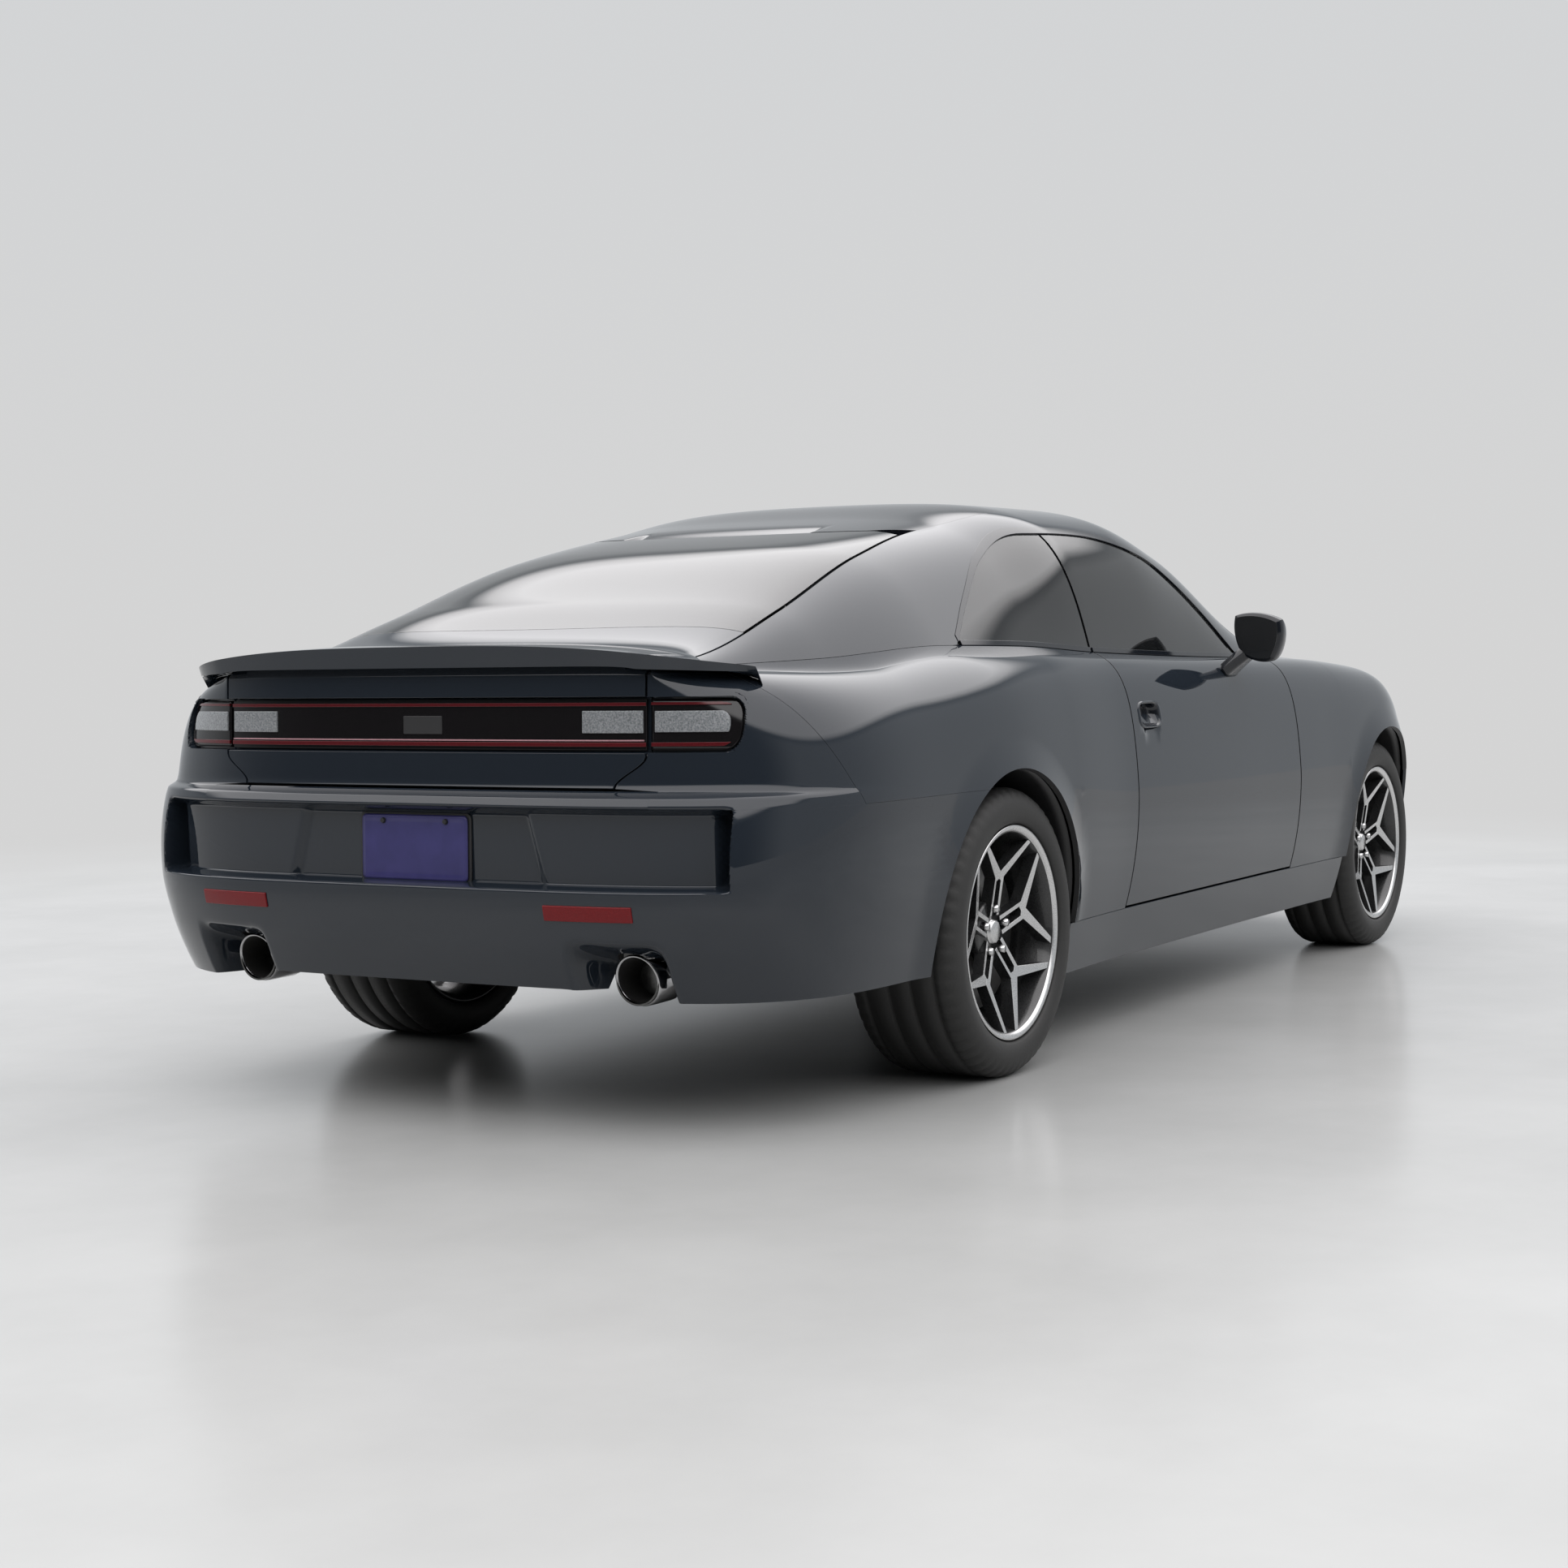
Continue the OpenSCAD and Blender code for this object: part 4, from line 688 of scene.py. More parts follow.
# Window trim: extruded gloss black strips, clipped along the upper edge of the side windows and
# along the belt under the glass.
def trim_strip(x_back, x_front, low, high, proud):
    x = columns(70, x_back, x_front)
    z = mix(low(x), high(x), rows(6))
    return top(CABIN, x, t_of_z(CABIN, *np.broadcast_arrays(x, z))) + np.array([0, proud, 0])


def window_top(x, above=0.0):
    return belt_z(x) + read(WINDOW, x, 1) + above


def trim_foot(x):
    return np.maximum(window_top(x, -0.002), belt_z(x) + 0.001)


upper = trim_strip(x_fa - 2.985, x_fa - 1.14, trim_foot, lambda x: window_top(x, 0.016), 0.002)
pair("window_trim_", upper, gloss_black, wall=0.006, edge=0.001)
for name, owner, x_back, x_front in (
    ("belt_trim_", "door_", x_fa - 2.248, x_fa - 1.115),
    ("quarter_belt_trim_", "body", x_fa - 2.975, x_fa - 2.263),
):
    belt = trim_strip(x_back, x_front, lambda x: belt_z(x) + 0.001, lambda x: belt_z(x) + 0.014, 0.0015)
    pair(name, belt, gloss_black, owner, wall=0.005, edge=0.001)


# Tail: a moulded bumper skin wraps the whole rear end and is painted with the body. It has a
# recess for the plate between an upper and a lower ledge, and notches for the exhaust tips.
def wrap_x(a, z, back, x_from):
    corner_x = x_tail_corner if back else x_nose_corner
    end = tail_x(z) if back else nose_x(z)
    q = 2 / (tail_power if back else nose_power)
    start = np.arcsin(np.clip((x_from - corner_x) / (end - corner_x), 0, 1) ** (1 / q))
    run = np.where((x_from - corner_x) * (end - corner_x) < 0, x_from - corner_x, 0)
    bend = 90 - 10 * np.clip(np.abs(run) / 0.2, 0, 1)
    swing = np.maximum(0, np.sin(mix(math.pi / 2, start, np.minimum(1, np.abs(a) / bend)))) ** q
    straight = run * np.clip((np.abs(a) - bend) / np.maximum(90 - bend, 1e-9), 0, 1)
    return corner_x + (end - corner_x) * swing + straight


def wrap(a, z, back, x_from):
    """The end of the body: a is 0 on the middle plane and 90 either way at x_from on the side."""
    a, z = spread(a, z)
    x = wrap_x(a, z, back, x_from)
    y = np.where(np.abs(a) < 0.01, 0, side_y(x, np.clip(side_v(x, z), 0, 1.98)))
    return points(x, np.sign(a) * y, z)


def wrap_at(y, z, back):
    y, z = spread(y, z)
    corner_x = x_tail_corner if back else x_nose_corner
    a = where_reaches(lambda q: wrap(q, z, back, corner_x)[..., 1], np.abs(y), 0, 90)
    p = wrap(a, z, back, corner_x)
    p[..., 1] = y
    return p


tip_y, tip_z, x_tip = 0.554, 0.343, x_tail + 0.150
bumper_top, ledge_top = 0.7277, 0.766


def bump_at(value, middle, half, soft):
    return ease((half - np.abs(value - middle)) / soft + 0.5)


def rear_recess(y, z):
    band = ease((z - 0.549) / 0.010) * ease((0.735 - z) / 0.022)
    pocket = ease((0.362 - 0.28 * (z - 0.556) - np.abs(y)) / 0.016 + 0.5) * bump_at(z, 0.634, 0.080, 0.014)
    depth = np.maximum(0.014, x_tail + 0.068 - tail_x(z))
    return band * (depth * ease((0.822 - np.abs(y)) / 0.030) + 0.012 * pocket)


def rear_low(y):
    notch = root(0.084**2 - (np.abs(y) - tip_y) ** 2) * 1.25
    return 0.300 + notch + 0.025 * ease((0.600 - np.abs(y)) / 0.200)


turn = np.linspace(-1, 1, 401)
a = stations(90 * np.sign(turn) * np.abs(turn) ** 1.35)
foot = rear_low(wrap(a, 0.330, True, x_rear_arch - arch_r)[..., 1])
z = [rows(12, 0.437, 0.545), rows(8, 0.548, 0.562), rows(14, 0.57, 0.70), rows(10, 0.706, bumper_top)]
z = np.concatenate(z, 1)
z = np.concatenate([mix(foot, 0.437, rows(14)[:, :-1]), z + 0 * foot], 1)
skin_low = wrap(a, z, True, x_rear_arch - root(arch_r**2 - (z - wheel_z) ** 2) - 0.001)
skin_low = flared(skin_low, x_rear_arch)
scoop = ease((0.125 - np.abs(np.abs(skin_low[..., 1]) - tip_y)) / 0.060) * ease((0.440 - z) / 0.070)
slot_in = bump_at(np.abs(skin_low[..., 1]), 0.792, 0.020, 0.012) * bump_at(z, 0.640, 0.082, 0.020)
skin_low[..., 0] += rear_recess(skin_low[..., 1], z) + 0.120 * scoop + 0.05 * slot_in
# The skin's cut edges are satin black: painted shade that darkens the seams round the bumper.
bumper_paint_and_shaded_rim = [paint, satin_black]
place("rear_bumper_skin", lay(skin_low), bumper_paint_and_shaded_rim, "body", ["rear_bumper"], wall=0.012, edge=0.001)


def gate_half(z):
    return mix(0.530, 0.604, ease((z - 0.772) / 0.070))


ledge_half = 0.640
z = np.concatenate([rows(14, bumper_top, 0.75), rows(6, 0.752, ledge_top)], 1)
ledge = wrap_at(ledge_half * columns(60, 1, -1), z, True)
ledge[..., 0] += rear_recess(ledge[..., 1], z)
place("rear_bumper_ledge", lay(ledge), paint, "body", wall=0.012, edge=0.001)


def corner(c, z):
    x_quarter = quarter_end(z) - 0.001
    inner = np.where(z < 0.769, ledge_half, gate_half(z) + shut)
    start = where_reaches(lambda a: wrap(a, z, True, x_quarter)[..., 1], inner + 0 * z, 0, 90)
    return wrap(mix(start, 90, c), z, True, x_quarter)


lamp_foot, lamp_head, lamp_recess, deck_foot = 0.851, 0.972, 0.026, 1.022


def lamp_end(z, inset=0.0):
    """Half width of the lamp band at a height, with rounded outer ends."""
    bow = np.clip(np.abs(z - 0.9115) / (0.0605 - inset), 0, 1)
    return 0.806 - inset - 0.034 * (1 - np.sqrt(1 - bow**2.6))


z = [
    rows(12, bumper_top, ledge_top), rows(1, 0.7715), rows(12, 0.78, 0.846), rows(4, 0.8485, 0.8535),
    rows(20, 0.86, 0.964), rows(4, 0.9695, 0.9745), rows(8, 0.98, deck_foot),
]
z = np.concatenate(z, 1)
c = columns(110)
tail_corner = corner(c, z)
hollow = ease((lamp_end(z) - tail_corner[..., 1]) / 0.006 + 0.5) * ((z > lamp_foot) & (z < lamp_head))
tail_corner[..., 0] += lamp_recess * hollow + rear_recess(tail_corner[..., 1], z)
pair("tail_corner_", tail_corner, paint, wall=0.010, edge=0.0015)


# Rear lamps: moulded lenses in one smoked band across the tail, cut at the tailgate's edges, with
# thin red light guides and clear reversing lenses. Two red reflectors sit in the bumper.
lamp_smoke = coat(
    "lamp_smoked_lens", "lamp_red", (0.0035, 0.003, 0.0034), (0.006, 0.005, 0.0056), 0.05, 200.0
)
lamp_red = coat("lamp_red_guide", "lamp_red", (0.060, 0.004, 0.006), (0.085, 0.006, 0.009), 0.12, 300.0)
lamp_clear = coat(
    "lamp_clear_lens", "lamp_clear", (0.10, 0.11, 0.115), (0.26, 0.27, 0.28), 0.12, 260.0, 0.5,
    Coat_Weight=0.6,
)
lamp_pale = coat("lamp_pale_guide", "lamp_red", (0.30, 0.16, 0.18), (0.42, 0.24, 0.26), 0.2, 300.0)


def corner_patch(y0, inset, z0, z1, proud):
    """A strip of the lamp band on the left corner, from y0 out to the band's rounded end."""
    z = rows(14, z0, z1)
    y = mix(lamp_end(z, inset), y0, columns(40))
    return wrap_at(y, z + 0 * y, True) + np.array([proud, 0, 0])


y_cut, band_foot, band_head = 0.6125, 0.855, 0.968
for name, finish, y0, inset, z0, z1, proud, wall, edge in (
    ("corner_lamp_", lamp_smoke, y_cut, 0.004, band_foot, band_head, 0.015, 0.010, 0),
    ("corner_guide_low_", lamp_red, y_cut, 0.012, 0.864, 0.873, 0.0105, 0.006, 0.001),
    ("corner_guide_high_", lamp_red, y_cut, 0.012, 0.955, 0.961, 0.0105, 0.006, 0.001),
    ("corner_reversing_", lamp_clear, y_cut + 0.008, 0.026, 0.895, 0.942, 0.010, 0.006, 0.002),
):
    taken = "tail_lamps" if name == "corner_lamp_" else ""
    pair(name, corner_patch(y0, inset, z0, z1, proud), finish, solid=taken, wall=wall, edge=edge)
reflector_red = coat(
    "reflector_red", "lamp_red", (0.10, 0.004, 0.006), (0.17, 0.007, 0.009), 0.22, 500.0, 0.6,
    Specular_IOR_Level=0.25,
)
y = columns(24, 0.617, 0.400)
reflector = wrap_at(y, rows(8, 0.483, 0.518) + 0 * y, True) - np.array([0.004, 0, 0])
pair("reflector_", reflector, reflector_red, wall=0.006, edge=0.002)


# Seal: an extruded rubber strip pressed on the body's flange, behind the gap between the ledge
# and the tailgate.
seal_rubber = coat("seal_rubber", "trim", (0.006, 0.006, 0.006), (0.010, 0.010, 0.010), 0.8, 300.0, 0.3)
y = columns(40, 0.66, -0.66)
seal = wrap_at(y, rows(5, 0.750, 0.790) + 0 * y, True) + np.array([0.046, 0, 0])
place("tailgate_seal", lay(seal), seal_rubber, "body", wall=0.006)


# Arch liners: moulded black plastic shells, clipped into each wheel arch, that close it between
# the panels and the floor.
for row, centre, y_in in (("front", x_fa, 0.60), ("rear", x_rear_arch, 0.58)):
    turn = np.radians(columns(66, -8, 188))
    reach = arch_r + 0.004
    lx, lz = centre + reach * np.cos(turn), wheel_z + reach * np.sin(turn)
    y_out = side_y(lx, np.clip(side_v(lx, lz), 0, 1.9)) - 0.010
    arch = points(lx, mix(y_in, y_out, rows(14)), lz)
    pair(f"arch_liner_{row}_", arch, satin_black, wall=0.004)


# Number plate: a blank sheet with a pressed rim and a violet-blue enamel, on a moulded black
# holder, held by two bolts.
plate_enamel = coat("plate_enamel", "trim", (0.026, 0.024, 0.105), (0.034, 0.031, 0.130), 0.3, 30.0, 0.05)
plate_x, plate_slope, plate_foot = x_tail + 0.073, 0.02, 0.55


def plate_grid(half_y, z0, z1, proud, soft):
    t = np.linspace(-1, 1, 33)
    z = mix(z0, z1, rows(25)) + 0 * t[:, None]
    corner_cut = soft * np.clip((np.abs(z - (z0 + z1) / 2) / ((z1 - z0) / 2) - 0.86) / 0.14, 0, 1) ** 2
    y = -t[:, None] * (half_y - corner_cut)
    x = np.full(y.shape, plate_x - proud) + plate_slope * (z - plate_foot)
    rim = np.minimum(half_y - np.abs(y), np.minimum(z - z0, z1 - z))
    return points(x - 0.0016 * np.exp(-(((rim - 0.007) / 0.003) ** 2)), y, z)


holder = plate_grid(0.160, 0.549, 0.712, 0.000, 0.010)
place("plate_holder", lay(holder), satin_black, "body", wall=0.004, edge=0.001)
blank = plate_grid(0.1525, 0.5545, 0.7065, 0.004, 0.008)
place("plate_blank", lay(blank), plate_enamel, "body", wall=0.0012)
bolt_z = 0.692
for hand, sign in sides:
    bm = bmesh.new()
    spot = (plate_x + plate_slope * (bolt_z - plate_foot) - 0.007, sign * 0.09, bolt_z)
    facing = Matrix.Translation(spot) @ Matrix.Rotation(-math.pi / 2, 4, "Y")
    bmesh.ops.create_cone(
        bm, cap_ends=True, segments=12, radius1=0.0075, radius2=0.0055, depth=0.006, matrix=facing
    )
    place("plate_bolt_" + hand, bm, satin_black, "body", edge=0.0008)


# Exhaust tips: polished steel sleeves welded over the pipe ends, cut at a slant, with a rolled
# lip and a sooty bore.
chrome = coat("tip_chrome", "steel", (0.34, 0.34, 0.345), (0.44, 0.44, 0.445), 0.10, 60.0, Metallic=1.0)
soot = coat("tip_soot", "steel", (0.006, 0.006, 0.006), (0.012, 0.011, 0.010), 0.85, 200.0, 0.4)
# radius, distance in from the mouth
SLEEVE = [
    (0.050, 0.090), (0.0505, 0.012), (0.0515, 0.003), (0.0545, -0.002), (0.0585, 0.001),
    (0.0600, 0.008), (0.0603, 0.040), (0.0590, 0.110), (0.0560, 0.122),
]
for hand, sign in sides:
    bm = bmesh.new()
    line = [bm.verts.new((x_tip + along, sign * tip_y + radius, tip_z)) for radius, along in SLEEVE]
    edges = [bm.edges.new(ends) for ends in zip(line, line[1:])]
    bmesh.ops.spin(
        bm, geom=line + edges, cent=(x_tip, sign * tip_y, tip_z), axis=(1, 0, 0), angle=2 * math.pi, steps=72,
        use_merge=True,
    )
    bmesh.ops.remove_doubles(bm, verts=bm.verts, dist=1e-5)
    for f in bm.faces:
        middle = f.calc_center_median()
        bore = math.hypot(middle.y - sign * tip_y, middle.z - tip_z) < 0.0535
        f.material_index = 1 if middle.x > x_tip + 0.003 and bore else 0
    for v in bm.verts:
        v.co.x -= 0.22 * (v.co.z - tip_z) * (v.co.x < x_tip + 0.02)
    bmesh.ops.recalc_face_normals(bm, faces=bm.faces)
    place("exhaust_tip_" + hand, bm, [chrome, soot], "body")


# Tailgate: a pressed lid under the backlight, hinged at the roof and painted with the body, with
# the lamp band and a camera window let into its rear face.
gate_foot, gate_head, deck_low = 0.772, 1.024, 1.030


def hatch_half(x):
    return edge_y(x) - shut


def gate_face(z, r):
    return wrap_at(-r * gate_half(z), z, True)


def gate_deck(c, r):
    x0 = gate_face(np.array(gate_head), r)[..., 0] + 0.014
    x = mix(x0, screen_foot_x(r) - 0.0008, c)
    q = over(CABIN, x, -r * hatch_half(x))
    q[..., 2] = np.maximum(q[..., 2], deck_low)
    return q


r = rows(61, -1, 1)
z = stations(
    np.linspace(gate_foot, 0.846, 16),
    [lamp_foot - 0.002, lamp_foot + 0.002],
    np.linspace(0.86, 0.964, 12),
    [lamp_head - 0.002, lamp_head + 0.002],
    np.linspace(0.98, gate_head, 8),
)
face = gate_face(z, r)
face[..., 0] += lamp_recess * ((z > lamp_foot) & (z < lamp_head))
deck = gate_deck(columns(24), r)
gate = lay(np.concatenate([face, deck]))
place("tailgate_skin", gate, paint, "tailgate", ["hatch_panel"], wall=0.012, edge=0.0015)


def gate_patch(y0, y1, z0, z1, proud, count):
    z = columns(10, z0, z1)
    y = rows(count, y0, y1) + 0 * z
    return wrap_at(y, z + 0 * y, True) + np.array([proud, 0, 0])


for name, finish, y0, y1, z0, z1, proud, count, wall, edge in (
    ("tailgate_lamp", lamp_smoke, 0.600, -0.600, band_foot, band_head, 0.014, 61, 0.010, 0.002),
    ("tailgate_guide_low", lamp_red, 0.600, -0.600, 0.863, 0.873, 0.010, 61, 0.006, 0.001),
    ("tailgate_guide_high", lamp_red, 0.600, -0.600, 0.953, 0.961, 0.010, 61, 0.006, 0.001),
    ("tailgate_reversing_left", lamp_clear, 0.594, 0.443, 0.893, 0.943, 0.009, 20, 0.006, 0.002),
    ("tailgate_reversing_right", lamp_clear, -0.594, -0.443, 0.893, 0.943, 0.009, 20, 0.006, 0.002),
    ("tailgate_guide_line", lamp_pale, 0.596, -0.596, 0.8755, 0.8785, 0.0095, 61, 0.004, 0),
    ("camera_window", satin_black, 0.056, -0.056, 0.890, 0.932, 0.0125, 16, 0.006, 0.002),
):
    taken = ["hatch_lamp"] if name == "tailgate_lamp" else ()
    patch = gate_patch(y0, y1, z0, z1, proud, count)
    place(name, lay(patch), finish, "tailgate", taken, wall=wall, edge=edge)


# Deck ends: small painted corners of the body's top surface outside the tailgate, pressed in one
# with the tail and lying under the ends of the spoiler.
u = columns(30, 0.995, 0.0)
y_inner = 0.616
x = mix(wrap_at(y_inner, deck_foot, True)[..., 0], x_ra - 0.926, 1 - u)
v_low = side_v(x, np.full(x.shape, deck_foot))
v_high = np.maximum(where_reaches(lambda q: -side_y(x, q), np.full(x.shape, -y_inner), 1, 2), v_low + 0.002)
x_all, v_all = np.broadcast_arrays(x, mix(v_low, v_high, rows(14)))
pair("tail_deck_", side(x_all, v_all), paint, wall=0.008)


# Spoiler: a moulded lip, painted with the body and glued on the tailgate's deck, with thin ends
# that stand free over the quarters.
spoiler_half = 0.812


def deck_z(x, y):
    x, y = np.broadcast_arrays(x, np.abs(y))
    lid = np.maximum(over(CABIN, x, np.minimum(y, belt_y(x)))[..., 2], np.where(y < 0.6, deck_low, 0))
    v = where_reaches(lambda q: -side_y(x, q), -y, 1, 2)
    return np.where(y <= belt_y(x), lid, side_z(x, v))


r = rows(91, -1, 1)
u = columns(18)
y = -r * spoiler_half
fall = np.abs(r) ** 3
rear_x = wrap_at(np.clip(y, -0.80, 0.80), 1.0 + 0 * y, True)[..., 0] - 0.034
front_x = rear_x + 0.30 * (1 - 0.90 * np.abs(r) ** 5)
rear_z, thick = 1.036 + 0.055 * (1 - fall), 0.012 + 0.038 * (1 - fall)
front_z = deck_z(front_x, y) + 0.003
x = mix(rear_x, front_x, u)
crown = mix(rear_z, front_z, u**1.15) + 0.008 * np.sin(math.pi * np.clip(u, 0, 1)) * (1 - fall)
base = np.maximum(mix(rear_z - thick, front_z - 0.003, u), np.minimum(deck_z(x, y) + 0.0005, crown - 0.002))
spoiler = points(x, y, crown)
spoiler_under = points(x + 0.008 * (1 - u), y, base)
place("spoiler_lip", lay(spoiler, spoiler_under), paint, "tailgate", ["spoiler"], edge=0.004)


# Bonnet, cowl and nose: a long pressed lid hinged at its rear edge, a plastic cowl under its end,
# and a plain moulded nose with a slim lamp band and a low intake. The bonnet's table gives x,
# height on the middle plane and half width of the crown's corner.
BONNET = [
    (x_nose, top_h - 0.715, 0.420),
    (x_fa + 0.56, top_h - 0.578, 0.520),
    (x_fa, top_h - 0.484, 0.560),
    (x_fa - 0.64, top_h - 0.444, 0.560),
    (x_fa - 1.0, top_h - 0.434, 0.560),
]
x_bonnet = x_fa - 0.720


def bonnet_rear(r):
    return x_bonnet + 0.080 - 0.080 * r * r


def bonnet_front(r):
    return float(nose_x(0.790)) - 0.040 - 0.190 * np.abs(r) ** 3.2


def bonnet_half(x, c):
    return side_y(x, np.full(x.shape, 2.0)) - shut - 0.001 - 0.034 * c**4


r = rows(61, -1, 1)
c = columns(50)
x = mix(bonnet_rear(r), bonnet_front(r), c)
bonnet = over(BONNET, x, -r * bonnet_half(x, c))
place("bonnet_skin", lay(bonnet), paint, "bonnet", ["hood"], wall=0.020, edge=0.003)
c = columns(10, 0.1, 1)
x = mix(screen_x(r) + 0.025, bonnet_rear(r) - 0.024, c)
cowl = over(BONNET, x, -r * (belt_y(x) - 0.016)) - np.array([0, 0, 0.046])
cowl = np.concatenate([across(screen_x(r), r, hair) + np.array([0.0007, 0, -0.002]), cowl])
place("cowl_cover", lay(cowl), satin_black, "body", ["cowl_panel"], wall=0.018, edge=0.002)


def nose_from(z):
    round_arch = x_fa + root(arch_r**2 - (z - wheel_z) ** 2) + 0.001
    return np.where(z > arch_top(x_split, x_fa), x_split + 0.0013, round_arch)


def nose_strip(degrees_from, degrees_to, count, z, x_from, back):
    return wrap(columns(count, degrees_from, degrees_to), z, False, x_from) - np.array([back, 0, 0])


z = [rows(7, 0.195, 0.287), rows(1, 0.291), rows(9, 0.32, 0.53), rows(2, 0.558, 0.562), rows(8, 0.58, lamp_low)]
z = np.concatenate(z, 1)
nose = flared(nose_strip(90, -90, 141, z, nose_from(z), 0), x_fa)
nose[..., 0] -= 0.070 * ((z > 0.290) & (z < 0.560)) * ease((0.680 - np.abs(nose[..., 1])) / 0.070)
place("front_bumper_skin", lay(nose), paint, "body", ["front_bumper"], wall=0.012, edge=0.002)
z = rows(12, 0.296, 0.554)
grille = nose_strip(28, -28, 60, z, nose_from(z), 0.040)
place("grille_panel", lay(grille), satin_black, "body", ["front_grille"], wall=0.02)
head_lens = coat(
    "headlamp_lens", "lamp_clear", (0.45, 0.47, 0.48), (0.55, 0.57, 0.58), 0.08, 120.0,
    Coat_Weight=1.0, Coat_Roughness=0.02,
)
lamp_start = x_split + 0.062
lamps = nose_strip(90, -90, 140, rows(8, lamp_low + hair, lamp_top), lamp_start, 0.004)
place("headlamp_band", lay(lamps), lamp_smoke, "body", ["headlamps"], wall=0.02, edge=0.002)
unit = nose_strip(62, 30, 40, rows(6, 0.717, 0.753), lamp_start, 0.0025)
pair("headlamp_unit_", unit, head_lens, wall=0.008, edge=0.002)
guide = nose_strip(27, -27, 60, rows(3, 0.7315, 0.7385), lamp_start, 0.003)
place("headlamp_guide", lay(guide), head_lens, "body", wall=0.006)


# Nose cap: a moulded panel, painted with the body, that closes the nose from the lamp band up to
# the front edge of the bonnet, screwed between the ends of the two fenders.
r = np.concatenate([[-1], np.linspace(-0.985, 0.985, 101), [1]])[:, None]
x_end = x_fender_end + 0.001
v_foot = float(side_v(x_end, lamp_top + 0.001))
cap_foot = wrap_at(-r * float(side_y(x_end, v_foot)), lamp_top + 0.001 + 0 * r, False)
rb = np.clip(r / 0.985, -1, 1)
x = bonnet_front(rb)
cap_head = over(BONNET, x, -rb * bonnet_half(x, 1)) + np.array([0.009, 0, -0.004])
for end, sign in ((0, 1), (-1, -1)):
    cap_foot[end, 0] = (x_end, sign * float(side_y(x_end, v_foot)), lamp_top + 0.001)
    cap_head[end, 0] = (x_end, sign * float(side_y(x_end, 2.0)), float(side_z(x_end, 2.0)))
swell = (cap_foot + cap_head) / 2 + points(0.014 + 0 * r, -0.016 * r, 0.012 + 0 * r)
t = rows(12)[..., None]
cap = (1 - t) ** 2 * cap_foot + 2 * t * (1 - t) * swell + t * t * cap_head
place("nose_cap", lay(cap), paint, "body", wall=0.006)


# Road wheels: low rubber tyres on cast alloy rims with five forked spokes, each held by five nuts.
# The spoke faces and the lip are machined bright, and the rest is dark grey lacquer.
tyre_d, rim_d = 0.722, 0.536
front_w, rear_w, front_track, rear_track = 0.275, 0.305, 1.660, 1.690
tyre_rubber = coat("tyre_rubber", "tyre", (0.009, 0.009, 0.009), (0.018, 0.018, 0.017), 0.62, 160.0, 0.3)
rim_dark = coat(
    "rim_lacquer", "wheel", (0.012, 0.0125, 0.013), (0.020, 0.0205, 0.021), 0.28, 300.0, Coat_Weight=0.5
)
rim_bright = coat("rim_machined", "wheel", (0.50, 0.50, 0.50), (0.62, 0.62, 0.62), 0.26, 900.0, Metallic=1.0)
disc_steel = coat(
    "brake_disc_steel", "steel", (0.16, 0.16, 0.16), (0.24, 0.24, 0.235), 0.4, 70.0, Metallic=1.0
)


def spun(profile, count, closed=False):
    """A ring turned about Z from a profile of radius and height."""
    bm = bmesh.new()
    line = [bm.verts.new((radius, 0, height)) for radius, height in profile]
    edges = [bm.edges.new(ends) for ends in zip(line, line[1:])]
    if closed:
        edges.append(bm.edges.new((line[-1], line[0])))
    bmesh.ops.spin(
        bm, geom=line + edges, cent=(0, 0, 0), axis=(0, 0, 1), angle=2 * math.pi, steps=count, use_merge=True
    )
    bmesh.ops.remove_doubles(bm, verts=bm.verts, dist=1e-5)
    bmesh.ops.recalc_face_normals(bm, faces=bm.faces)
    return bm


def stand(bm, x, track, sign):
    """Turns a wheel piece made about Z so that its outer face points out of the car."""
    turn = Matrix.Rotation(-sign * math.pi / 2, 4, "X")
    bmesh.ops.transform(bm, matrix=Matrix.Translation((x, sign * track / 2, wheel_z)) @ turn, verts=bm.verts)


def tyre_mesh(w):
    R, half = tyre_d / 2, w / 2
    groove, deep = 0.0045, 0.006
    crown = []
    for middle in (-0.31, -0.1, 0.1, 0.31):
        g = middle * w
        crown += [
            (R, g - groove), (R - deep, g - groove * 0.7), (R - deep, g + groove * 0.7), (R, g + groove)
        ]
    outer = [
        (rim_d / 2 + hair, -half + 0.016),
        (rim_d / 2 + 0.010, -half + 0.005),
        (rim_d / 2 + 0.030, -half + 0.001),
        (rim_d / 2 + 0.046, -half),
        (R - 0.030, -half + 0.006),
        (R - 0.014, -half + 0.015),
        (R - 0.004, -half + 0.029),
        (R, -half + 0.042),
    ]
    profile = outer + crown + [(radius, -height) for radius, height in reversed(outer)]
    profile += [(R - 0.018, half - 0.040), (R - 0.018, -half + 0.040)]
    steps = 240
    bm = spun(profile, steps, closed=True)
    for v in bm.verts:
        radius, height = math.hypot(v.co.x, v.co.y), abs(v.co.z)
        k = round(math.atan2(v.co.y, v.co.x) / (2 * math.pi) * steps) % 4
        if k == 0 and R - 0.016 < radius and 0.34 * w < height < half - 0.012:
            v.co.xy *= 1 - 0.0045 / radius
    return bm


def lip_of(w):
    """Height of the rim's outer lip over the middle plane of a wheel."""
    return w / 2 - 0.011


def polar(radius, degrees):
    return radius * math.cos(math.radians(degrees)), radius * math.sin(math.radians(degrees))


FACE = [(0.030, -0.055), (0.090, -0.050), (0.161, -0.032), (0.252, -0.010)]
BACK = [(0.030, -0.086), (0.090, -0.082), (0.161, -0.062), (0.252, -0.044)]


def dish(table, radius):
    return float(np.interp(radius, [q[0] for q in table], [q[1] for q in table]))


